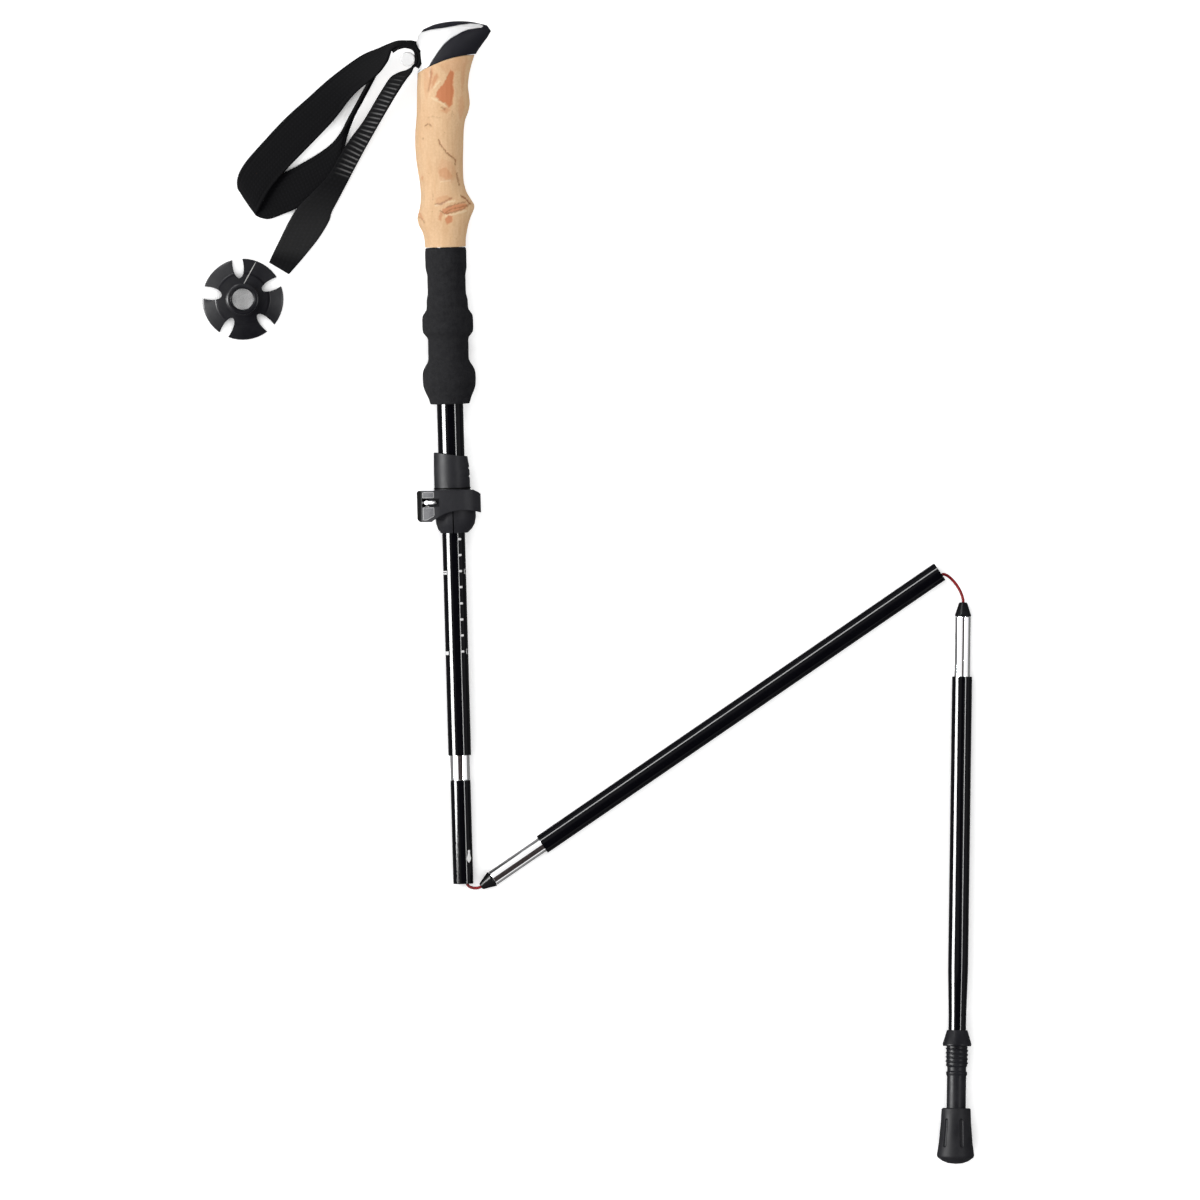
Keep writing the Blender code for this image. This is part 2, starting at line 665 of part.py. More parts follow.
def build_lever(frame):
    height = LEVER_ABOVE + LEVER_BELOW
    blank = extruded_object("lock_lever", [(x, -y) for x, y in lever_outline()], height)
    blank.data.transform(Matrix.Rotation(math.radians(90.0), 4, "X"))
    lever = place(blank, lock_plastic(), frame,
                  (0.0, 0.0, BOLT_HEIGHT + (LEVER_ABOVE - LEVER_BELOW) / 2))
    slot_height = 2 * WINDOW_HALF
    window = hide_cutter(box_object("lever_window", (WINDOW_WIDTH, 20.0, slot_height)), frame,
                         (LEVER_PIN_X + 5.0, LEVER_PIN_Y, BOLT_HEIGHT))
    eye_slot = hide_cutter(cylinder_object("lever_eye_slot", BOLT_EYE + FIT, slot_height, 24), frame,
                           (LEVER_PIN_X, LEVER_PIN_Y, BOLT_HEIGHT))
    swing_slot = hide_cutter(box_object("lever_swing_slot", (8.0, 8.0, slot_height)), frame,
                             (LEVER_PIN_X, LEVER_PIN_Y + 4.0, BOLT_HEIGHT))
    pin_hole = hide_cutter(cylinder_object("lever_pin_hole", LEVER_PIN_RADIUS + FIT, CUTTER_REACH, 20),
                           frame, (LEVER_PIN_X, LEVER_PIN_Y, BOLT_HEIGHT))
    arch = 30.0
    under = hide_cutter(cylinder_object("lever_underside", arch, CUTTER_REACH, 48), frame,
                        (6.0, -20.0, BOLT_HEIGHT - LEVER_BELOW - arch + 7.1), (90.0, 0.0, 0.0))
    bevel = 14.0
    shoulder = hide_cutter(
        box_object("lever_shoulder", (bevel, CUTTER_REACH, bevel)), frame,
        (LEVER_REACH - 1.1, 0.0, BOLT_HEIGHT + LEVER_ABOVE + bevel / 2 - 0.8), (0.0, 34.0, 0.0))
    nut_room = hide_cutter(box_object("lever_nut_room", (8.5, 8.0, 2 * NUT_RADIUS + 1.0)), frame,
                           (NUT_FACE - 0.35, LEVER_PIN_Y + 0.5, BOLT_HEIGHT))
    boolean(lever, window)
    boolean(lever, nut_room)
    boolean(lever, eye_slot)
    boolean(lever, swing_slot)
    boolean(lever, pin_hole)
    boolean(lever, under)
    boolean(lever, shoulder)
    pin_trim = 0.6
    place(turned_object("lever_pin", rod_outline(LEVER_PIN_RADIUS, height - 2 * pin_trim), 20), steel(),
          frame, (LEVER_PIN_X, LEVER_PIN_Y, BOLT_HEIGHT - LEVER_BELOW + pin_trim))


BUTTON_RADIUS = 2.0
BUTTON_HEIGHT = 96.0


def build_telescope(frame):
    """The scale tube with its guide bush, and the sliding tube that tensions the cord."""
    scale_bore = SCALE_RADIUS - TUBE_WALL
    place(turned_object("scale_tube", tube_outline(SCALE_RADIUS, TUBE_WALL, SCALE_LENGTH)),
          gloss_black(), frame, (0.0, 0.0, SCALE_BOTTOM))
    cord_hole = CORD_RADIUS + 1.0
    bush_rim, bush_stem = 3.0, 12.0
    place(turned_object("scale_tube_bush", [
        (SCALE_RADIUS, bush_stem + bush_rim), (SCALE_RADIUS, bush_stem + FIT),
        (scale_bore - FIT, bush_stem + FIT), (scale_bore - FIT, 0.0),
        (cord_hole, 0.0), (cord_hole, bush_stem + bush_rim)]), bush_plastic(), frame,
        (0.0, 0.0, SCALE_BOTTOM + SCALE_LENGTH - bush_stem))
    spigot = SECTION_RADIUS - TUBE_WALL - FIT
    spigot_length = 22.0
    slider_wall = 0.7
    slider_bore = spigot - slider_wall
    body_bottom = SOCKET_LENGTH + FIT
    slider_bottom = body_bottom - spigot_length
    slider_length = SLIDER_TOP - slider_bottom
    slider = place(turned_object("slider_tube", [
        (SLIDER_RADIUS, slider_length), (SLIDER_RADIUS, spigot_length), (spigot, spigot_length),
        (spigot, 0.0), (slider_bore, 0.0), (slider_bore, slider_length)]), bare_aluminium(), frame,
        (0.0, 0.0, slider_bottom))
    button_hole = hide_cutter(cylinder_object("button_hole", BUTTON_RADIUS + FIT, 12.0, 20), frame,
                              (0.0, -SLIDER_RADIUS, BUTTON_HEIGHT), (90.0, 0.0, 0.0))
    boolean(slider, button_hole)
    place(turned_object("socket_tube", tube_outline(SECTION_RADIUS, TUBE_WALL, SOCKET_LENGTH)),
          gloss_black(), frame)
    plug_stem, plug_rim = 8.0, 2.0
    place(turned_object("slider_plug", [
        (SLIDER_RADIUS, plug_stem + plug_rim), (SLIDER_RADIUS, plug_stem + FIT),
        (slider_bore - FIT, plug_stem + FIT), (slider_bore - FIT, 0.0),
        (cord_hole, 0.0), (cord_hole, plug_stem + plug_rim)]), bush_plastic(), frame,
        (0.0, 0.0, SLIDER_TOP - plug_stem))
    stop_bottom = SLIDER_TOP + plug_rim + FIT
    place(turned_object("cord_stop", [
        (3.6, 6.0), (3.6, 0.6), (3.0, 0.0), (CORD_RADIUS + FIT, 0.0), (CORD_RADIUS + FIT, 6.0)], 24),
        steel(), frame, (0.0, 0.0, stop_bottom))
    button_length = 3.4
    place(turned_object("snap_button", [
        (0.0, button_length), (BUTTON_RADIUS - 0.6, button_length), (BUTTON_RADIUS, button_length - 0.7),
        (BUTTON_RADIUS, 0.0), (0.0, 0.0)], 20), steel(), frame,
        (0.0, -(SLIDER_RADIUS + 0.1 - button_length), BUTTON_HEIGHT), (90.0, 0.0, 0.0))
    build_button_spring(frame, slider_bore)


def build_button_spring(frame, bore):
    """A hairpin of spring strip inside the sliding tube, bowed against the bore behind the button."""
    half_width = 1.5
    strip = 0.4
    seat = -(SLIDER_RADIUS + 0.1 - 3.4) + FIT + strip / 2
    back = bore - FIT - strip / 2
    stations = []
    for height, depth in ((3.0, seat), (-4.0, seat), (-9.0, seat + 0.3), (-13.0, 1.0)):
        stations.append(((-half_width, depth, height), (half_width, depth, height)))
    for height, depth in ((-14.6, 2.0), (-13.2, back - 0.2), (-6.0, back), (4.0, back)):
        stations.append(((-half_width, depth, height), (half_width, depth, height)))
    place(ribbon_object("button_spring", stations, strip, 2, 1), steel(), frame,
          (0.0, 0.0, BUTTON_HEIGHT))


def build_insert(frame, prefix, tip_radius):
    """A nylon cone and the bare insert tube behind it. The cone's tip is at the frame's origin."""
    cord_hole = CORD_RADIUS + FIT
    base = SECTION_RADIUS - TUBE_WALL - 0.25
    stem = INSERT_RADIUS - INSERT_WALL - FIT
    stem_length = 7.0
    rounding = 1.2
    place(turned_object(prefix + "_cone", [
        (tip_radius - 0.5, CONE_LENGTH), (tip_radius, CONE_LENGTH - 0.6),
        (base - 0.25, rounding), (base, 0.8), (base - 0.3, 0.0), (stem, 0.0),
        (stem, -stem_length), (cord_hole, -stem_length), (cord_hole, CONE_LENGTH)], 28),
        tip_plastic(), frame, (0.0, 0.0, -CONE_LENGTH))
    held = SECTION_RADIUS - TUBE_WALL - FIT
    length = INSERT_SHOWN + INSERT_HELD - FIT
    bore = INSERT_RADIUS - INSERT_WALL
    place(turned_object(prefix + "_insert", [
        (INSERT_RADIUS, length), (INSERT_RADIUS, INSERT_HELD + 1.0), (held, INSERT_HELD - 1.0),
        (held, 0.0), (bore, 0.0), (bore, length)]), bare_aluminium(), frame,
        (0.0, 0.0, -CONE_LENGTH - FIT - length))
    return -CONE_LENGTH - INSERT_SHOWN


def build_middle(frame):
    tube_top = build_insert(frame, "middle", 2.3)
    place(turned_object("middle_tube", tube_outline(SECTION_RADIUS, TUBE_WALL, MIDDLE_LENGTH + tube_top)),
          gloss_black(), frame, (0.0, 0.0, -MIDDLE_LENGTH))


def build_lower(frame):
    tube_top = build_insert(frame, "lower", 2.7)
    end_radius = 5.5
    held_length = 8.0
    neck_start, neck_end = 37.0, 9.0
    bottom = tube_top - LOWER_TUBE_SHOWN - held_length
    length = tube_top - bottom
    bore = SECTION_RADIUS - TUBE_WALL
    end_bore = end_radius - TUBE_WALL
    place(turned_object("lower_tube", [
        (SECTION_RADIUS, length), (SECTION_RADIUS, neck_start + held_length),
        (end_radius, neck_end + held_length), (end_radius, 0.0), (end_bore, 0.0),
        (end_bore, neck_end + held_length), (bore, neck_start + held_length), (bore, length)]),
        gloss_black(), frame, (0.0, 0.0, bottom))
    build_tip(frame, tube_top - LOWER_TUBE_SHOWN, end_radius, held_length)


# The tip: heights below the collar's top edge
COLLAR_RADIUS = 9.0
COLLAR_DEPTH = 10.0
CORE_RADIUS = 6.5
CORE_DEPTH = 23.1
SHANK_RADIUS = 6.0
HOLDER_DEPTH = 69.6
CARBIDE_RADIUS = 2.6
CARBIDE_SHOWN = 4.5
RUBBER_DEPTH = 48.6
RUBBER_FLOOR = 9.0
FLUTE_COUNT = 6
FLUTE_TURN = -10.0


def build_tip(frame, top, tube_end, held_length):
    """The tip holder with its basket collar and thread core, the carbide tip and the rubber cap."""
    socket = tube_end + FIT
    pocket = CARBIDE_RADIUS + FIT
    pocket_depth = 12.0
    rows = [
        (0.0, held_length + FIT), (socket, held_length + FIT), (socket, 0.0),
        (6.4, 0.0), (8.2, 6.0), (COLLAR_RADIUS, 8.6), (COLLAR_RADIUS - 0.3, COLLAR_DEPTH),
        (CORE_RADIUS, COLLAR_DEPTH), (CORE_RADIUS, CORE_DEPTH - 0.8), (5.9, CORE_DEPTH),
        (5.9, CORE_DEPTH + 2.4), (6.6, CORE_DEPTH + 3.2), (6.6, CORE_DEPTH + 4.6),
        (SHANK_RADIUS, CORE_DEPTH + 5.6), (SHANK_RADIUS, HOLDER_DEPTH - 2.5), (5.0, HOLDER_DEPTH),
        (pocket, HOLDER_DEPTH), (pocket, HOLDER_DEPTH - pocket_depth),
        (0.0, HOLDER_DEPTH - pocket_depth),
    ]
    place(turned_object("tip_holder", [(radius, -depth) for radius, depth in rows]), tip_plastic(),
          frame, (0.0, 0.0, top))
    carbide_length = pocket_depth - FIT + CARBIDE_SHOWN
    place(turned_object("carbide_tip", [
        (0.0, carbide_length), (CARBIDE_RADIUS, carbide_length), (CARBIDE_RADIUS, 1.2), (2.0, 0.0),
        (1.3, 0.9), (0.0, 0.9)], 20), steel(), frame,
        (0.0, 0.0, top - HOLDER_DEPTH - CARBIDE_SHOWN))
    seat = SHANK_RADIUS + FIT
    rubber_top = top - RUBBER_DEPTH
    cap = place(turned_object("rubber_tip", [
        (0.0, RUBBER_FLOOR), (seat, RUBBER_FLOOR), (seat, RUBBER_LENGTH), (8.3, RUBBER_LENGTH),
        (9.1, RUBBER_LENGTH - 0.6), (9.4, RUBBER_LENGTH - 8.0), (10.6, RUBBER_LENGTH - 22.0),
        (RUBBER_RADIUS, 5.4), (RUBBER_RADIUS - 0.5, 4.0), (8.0, 1.7), (4.5, 0.4), (0.0, 0.0)], 36),
        rubber(), frame, (0.0, 0.0, rubber_top - RUBBER_LENGTH))
    flute_lean = math.radians(4.9)
    flute_reach = RUBBER_RADIUS - 1.2
    flute_length = 15.5
    for k in range(FLUTE_COUNT):
        angle = math.tau * k / FLUTE_COUNT + math.radians(FLUTE_TURN)
        flute = hide_cutter(capsule_object("rubber_flute_%d" % k, 1.4, flute_length), frame,
                            (flute_reach * math.cos(angle), flute_reach * math.sin(angle),
                             rubber_top - flute_length))
        sideways = Vector((-math.sin(angle), math.cos(angle), 0.0))
        flute.rotation_euler = Matrix.Rotation(-flute_lean, 3, sideways).to_euler()
        boolean(cap, flute)


def capsule_object(name, radius, straight):
    """A rod with round ends along Z, centred on its origin."""
    end_cap = [(radius * math.sin(math.radians(15.0 * k)), radius * math.cos(math.radians(15.0 * k)))
               for k in range(1, 7)]
    upper = [(across, straight / 2 + along) for across, along in end_cap]
    lower = [(across, -straight / 2 - along) for across, along in reversed(end_cap)]
    half = straight / 2 + radius
    return turned_object(name, [(0.0, half)] + upper + lower + [(0.0, -half)], 16)


# The basket: a shallow dished disc with a collar that screws onto the tip holder
BASKET_RADIUS = 25.3
BASKET_HUB = 9.7
BASKET_BORE = 7.2
BASKET_HEIGHT = 12.0
DISH_HEIGHT = 6.6
SLOT_LENGTH = 8.2
SLOT_WIDTHS = (4.0, 3.5, 3.4, 3.3, 3.3)
SLOT_REACH = BASKET_RADIUS - 3.8
SLOT_TURN = 170.0


def build_basket():
    frame = empty_at("basket_frame", Matrix.Translation(Vector((*BASKET_CENTRE, 0.0)) * MM))
    step = BASKET_RADIUS - 8.6
    basket = place(turned_object("basket", [
        (BASKET_HUB - 1.0, BASKET_HEIGHT), (BASKET_HUB, BASKET_HEIGHT - 0.6),
        (BASKET_HUB, DISH_HEIGHT + 0.8), (BASKET_HUB + 0.9, DISH_HEIGHT), (step - 1.1, DISH_HEIGHT - 0.7),
        (step, DISH_HEIGHT - 2.1), (step + 0.7, DISH_HEIGHT - 2.6), (BASKET_RADIUS - 1.1, 2.6),
        (BASKET_RADIUS, 1.8), (BASKET_RADIUS, 0.5), (BASKET_RADIUS - 0.5, 0.0),
        (BASKET_RADIUS - 4.9, 0.0), (BASKET_RADIUS - 5.7, 0.9), (step - 1.3, DISH_HEIGHT - 4.0),
        (BASKET_HUB + 0.9, DISH_HEIGHT - 3.0), (BASKET_BORE, DISH_HEIGHT - 2.7),
        (BASKET_BORE, BASKET_HEIGHT - 0.8), (BASKET_BORE + 0.8, BASKET_HEIGHT)], 48),
        tip_plastic(), frame)
    for k, half_width in enumerate(SLOT_WIDTHS):
        angle = math.radians(SLOT_TURN - 360.0 / len(SLOT_WIDTHS) * k)
        slot = cylinder_object("basket_slot_%d" % k, 1.0, 4 * BASKET_HEIGHT, 28)
        slot.data.transform(Matrix.Diagonal((SLOT_LENGTH, half_width, 1.0, 1.0)))
        hide_cutter(slot, frame, (SLOT_REACH * math.cos(angle), SLOT_REACH * math.sin(angle), 0.0),
                    (0.0, 0.0, math.degrees(angle)))
        boolean(basket, slot)


# The strap's pieces are measured from the strap pin, with heights above the ground
PAD_LAYER = 8.0            # middle radii of the two layers that wrap round the strap pin
WEBBING_LAYER = 5.75
PAD_THICKNESS = 2.2
WEBBING_THICKNESS = 1.6

PAD_STATIONS = [
    ((-6.0, 8.6, 15.1), (-6.0, 8.6, 31.1)),
    ((-11.0, 8.3, 13.8), (-10.5, 6.2, 30.0)),
    ((-17.5, 6.8, 11.0), (-12.8, -1.5, 25.0)),
    ((-29.5, 2.1, 6.5), (-19.5, -9.8, 15.0)),
    ((-47.5, -10.6, 4.4), (-33.5, -21.5, 6.5)),
    ((-62.4, -23.7, 4.2), (-46.3, -37.7, 4.6)),
    ((-77.3, -37.2, 4.3), (-58.7, -52.7, 4.4)),
    ((-90.9, -51.8, 4.6), (-72.2, -68.6, 4.6)),
    ((-100.2, -62.4, 4.8), (-80.9, -79.8, 4.8)),
    ((-104.8, -70.8, 4.6), (-89.6, -93.0, 4.6)),
    ((-106.4, -75.4, 3.0), (-91.6, -98.6, 3.0)),
    ((-104.6, -77.2, 1.4), (-89.8, -99.0, 1.4)),
    ((-97.0, -76.4, 1.4), (-84.0, -98.4, 1.4)),
    ((-76.5, -69.8, 1.4), (-66.5, -91.0, 1.4)),
    ((-60.9, -61.4, 1.4), (-53.4, -81.7, 1.4)),
    ((-49.1, -53.3, 1.7), (-42.2, -68.0, 1.4)),
    ((-41.8, -45.0, 4.5), (-38.8, -50.0, 1.6)),
    ((-36.2, -36.0, 10.5), (-34.4, -36.0, 2.6)),
    ((-30.2, -25.0, 12.0), (-28.8, -25.4, 3.6)),
    ((-24.6, -14.6, 13.0), (-23.4, -15.2, 5.0)),
]
WEBBING_STATIONS = [
    ((-86.7, -126.3, 1.2), (-74.3, -133.7, 1.2)),
    ((-84.0, -120.4, 1.2), (-65.9, -124.1, 1.2)),
    ((-79.3, -110.8, 1.4), (-55.9, -111.6, 1.2)),
    ((-74.3, -100.9, 2.6), (-49.4, -100.9, 1.4)),
    ((-68.8, -92.3, 4.0), (-47.5, -94.8, 2.2)),
    ((-60.3, -83.6, 4.4), (-43.5, -87.3, 3.0)),
    ((-50.3, -73.0, 4.4), (-37.9, -76.7, 3.8)),
    ((-43.2, -61.1, 4.4), (-32.2, -65.8, 4.6)),
    ((-36.0, -49.3, 5.6), (-26.0, -54.3, 7.0)),
    ((-27.6, -38.2, 7.6), (-17.9, -39.9, 12.0)),
    ((-17.6, -22.3, 10.5), (-10.1, -24.9, 19.5)),
    ((-9.8, -11.2, 13.4), (-5.2, -13.6, 27.0)),
    ((-5.0, -8.9, 14.8), (-2.8, -10.8, 30.0)),
    ((-0.6, -7.4, 15.1), (-0.5, -7.7, 31.1)),
    ((1.7, -6.0, 15.1), (1.7, -6.0, 31.1)),
]
PIN_HALF_WEBBING = WEBBING_AT_PIN / 2


def bight_stations(radius, first, last, pin_height):
    """Edge-on stations round the strap pin, from one angle to another, 30 degrees apart or less."""
    count = max(2, round(abs(last - first) / 30.0) + 1)
    stations = []
    for k in range(count):
        angle = math.radians(first + (last - first) * k / (count - 1))
        x, y = radius * math.cos(angle), radius * math.sin(angle)
        stations.append(((x, y, pin_height - PIN_HALF_WEBBING), (x, y, pin_height + PIN_HALF_WEBBING)))
    return stations


def build_strap(pin_place):
    pin_height = pin_place.z
    frame = empty_at("strap_swing_axis", Matrix.Translation(Vector((pin_place.x, pin_place.y, 0.0)) * MM))
    pad = bight_stations(PAD_LAYER, -42.0, 90.0, pin_height) + PAD_STATIONS
    place(ribbon_object("strap_pad", pad, PAD_THICKNESS, 2, 3), webbing(), frame)
    tail = WEBBING_STATIONS + bight_stations(WEBBING_LAYER, -56.0, 90.0, pin_height)
    tail += [((-4.0, WEBBING_LAYER, pin_height - PIN_HALF_WEBBING),
              (-4.0, WEBBING_LAYER, pin_height + PIN_HALF_WEBBING))]
    place(ribbon_object("strap_webbing", tail, WEBBING_THICKNESS, 2, 2), webbing(), frame)


def build_strap_bush(frame):
    """A plastic cap sleeve on the strap pin, which the webbing turns on."""
    length = LUG_GAP - 2 * FIT
    bore = STRAP_PIN_RADIUS + FIT
    rounding = 0.5
    outline = [(0.0, length), (STRAP_BUSH_RADIUS - rounding, length),
               (STRAP_BUSH_RADIUS, length - rounding), (STRAP_BUSH_RADIUS, 0.0), (bore, 0.0),
               (bore, length - BUSH_CAP), (0.0, length - BUSH_CAP)]
    place(turned_object("strap_bush", outline, 28), white_plastic(), frame,
          (STRAP_PIN_X, length / 2, STRAP_PIN_HEIGHT), (90.0, 0.0, 0.0))


def curve_between(start, start_way, end, end_way, reach_start, reach_end, count):
    """Points of a curve that leaves start along start_way and arrives at end along end_way."""
    second = start + start_way * reach_start
    third = end - end_way * reach_end
    points = []
    for k in range(count + 1):
        t = k / count
        u = 1.0 - t
        points.append(start * u ** 3 + second * 3 * u * u * t + third * 3 * u * t * t + end * t ** 3)
    return points


def build_cords(upper, middle, lower):
    """The tension cord: three runs inside the sections and the two bare stretches at the folds."""
    stop_height = SLIDER_TOP + 2.0 + FIT
    low = 2.0
    past_cone = -CONE_LENGTH - 7.2
    place(cord_object("cord_upper", smooth_rows([
        (0.0, 0.0, stop_height + 5.0), (0.0, 0.0, SLIDER_TOP - 12.0), (2.7, 0.0, SLIDER_TOP - 40.0),
        (2.7, 0.0, SOCKET_LENGTH + 13.4), (CORD_OFFSET, low, 14.0), (CORD_OFFSET, low, FIT)], 3)),
        cord_sheath(), upper)
    place(cord_object("cord_middle", smooth_rows([
        (0.0, 0.0, -FIT), (0.0, 0.0, past_cone), (0.0, 2.4, past_cone - 44.0),
        (-CORD_OFFSET, low, 47.0 - MIDDLE_LENGTH), (-CORD_OFFSET, low, FIT - MIDDLE_LENGTH)], 3)),
        cord_sheath(), middle)
    place(cord_object("cord_lower", [
        (0.0, 0.0, -FIT), (0.0, 0.0, past_cone), (0.0, 0.0, -SPRING_PLUG - SPRING_LENGTH - 9.0)]),
        cord_sheath(), lower)
    for name, frame, leaves, target, reach in (
            ("cord_fold_1", upper, (CORD_OFFSET, low, 0.0), middle, (2.6, 3.4)),
            ("cord_fold_2", middle, (-CORD_OFFSET, low, -MIDDLE_LENGTH), lower, (4.0, 8.0))):
        start = frame.matrix_world @ (Vector(leaves) * MM) / MM
        end = target.matrix_world.translation / MM
        way_out = -(frame.matrix_world.to_3x3() @ Vector((0.0, 0.0, 1.0)))
        way_in = -(target.matrix_world.to_3x3() @ Vector((0.0, 0.0, 1.0)))
        points = curve_between(start, way_out, end, way_in, *reach, 12)
        place(cord_object(name, points), cord_sheath(), None)


SPRING_PLUG = 172.0
SPRING_LENGTH = 40.0
SPRING_TURNS = 11
SPRING_RADIUS = 3.6
SPRING_WIRE = 0.55


def build_tensioner(frame):
    """In the lower tube: a fixed plug, a compression spring and the crimp that it pushes on."""
    bore = SECTION_RADIUS - TUBE_WALL
    hole = CORD_RADIUS + 1.0
    plug_length = 6.0
    place(turned_object("spring_plug", tube_outline(bore - FIT, bore - FIT - hole, plug_length), 28),
          bush_plastic(), frame, (0.0, 0.0, -SPRING_PLUG))
    points = []
    steps = 8
    top = -SPRING_PLUG - FIT - SPRING_WIRE
    for k in range(SPRING_TURNS * steps + 1):
        angle = math.tau * k / steps
        height = top - (SPRING_LENGTH - 2 * SPRING_WIRE) * k / (SPRING_TURNS * steps)
        points.append((SPRING_RADIUS * math.cos(angle), SPRING_RADIUS * math.sin(angle), height))
    place(cord_object("tension_spring", points, SPRING_WIRE, 0), steel(), frame)
    crimp_top = -SPRING_PLUG - SPRING_LENGTH - 2 * FIT
    crimp_length = 7.0
    place(turned_object("cord_crimp", [
        (4.4, 0.0), (4.4, -1.6), (2.2, -2.0), (2.2, -crimp_length), (CORD_RADIUS + FIT, -crimp_length),
        (CORD_RADIUS + FIT, 0.0)], 24), steel(), frame, (0.0, 0.0, crimp_top))


def main():
    clear_scene()
    lean = math.radians(UPPER_LEAN)
    axis_height = SECTION_RADIUS + 0.05
    slope = math.atan2(KNOB_RADIUS - axis_height, KNOB_HEIGHT)
    along = Vector((-math.sin(lean), math.cos(lean), 0.0))
    up = along * math.cos(slope) + Vector((0.0, 0.0, math.sin(slope)))
    upper = section_frame("upper_section", Vector((*MOUTH, axis_height)), up)
    build_head(upper)
    build_strap_bush(upper)
    build_grip(upper)
    lift = Matrix.Translation((0.0, 0.0, LOCK_BOTTOM * MM))
    build_lock(empty_at("lock_frame", upper.matrix_world @ lift))
    build_telescope(upper)

    middle_up = -Vector((*MIDDLE_WAY, 0.0))
    middle = section_frame("middle_section", Vector((*MIDDLE_TIP, axis_height)), middle_up)
    build_middle(middle)

    lean = math.radians(LOWER_LEAN)
    rim = LOWER_LENGTH - 5.4
    tube_top = CONE_LENGTH + INSERT_SHOWN
    slope = math.atan2(RUBBER_RADIUS - SECTION_RADIUS, rim - tube_top)
    tip_height = axis_height - tube_top * math.tan(slope)
    along = Vector((math.sin(lean), math.cos(lean), 0.0))
    lower_up = along * math.cos(slope) - Vector((0.0, 0.0, math.sin(slope)))
    lower = section_frame("lower_section", Vector((*LOWER_TIP, tip_height)), lower_up)
    build_lower(lower)
    build_tensioner(lower)

    for name, place_on_ground in (("fold_1_axis", FOLD_1), ("fold_2_axis", FOLD_2)):
        empty_at(name, Matrix.Translation(Vector((*place_on_ground, axis_height)) * MM))

    bpy.context.view_layer.update()
    build_cords(upper, middle, lower)
    build_basket()
    pin = upper.matrix_world @ (Vector((STRAP_PIN_X, 0.0, STRAP_PIN_HEIGHT)) * MM)
    build_strap(pin / MM)


main()
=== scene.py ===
"""The looks of a folding trail running pole, laid open on a pale floor and seen from straight above."""
import json
import math

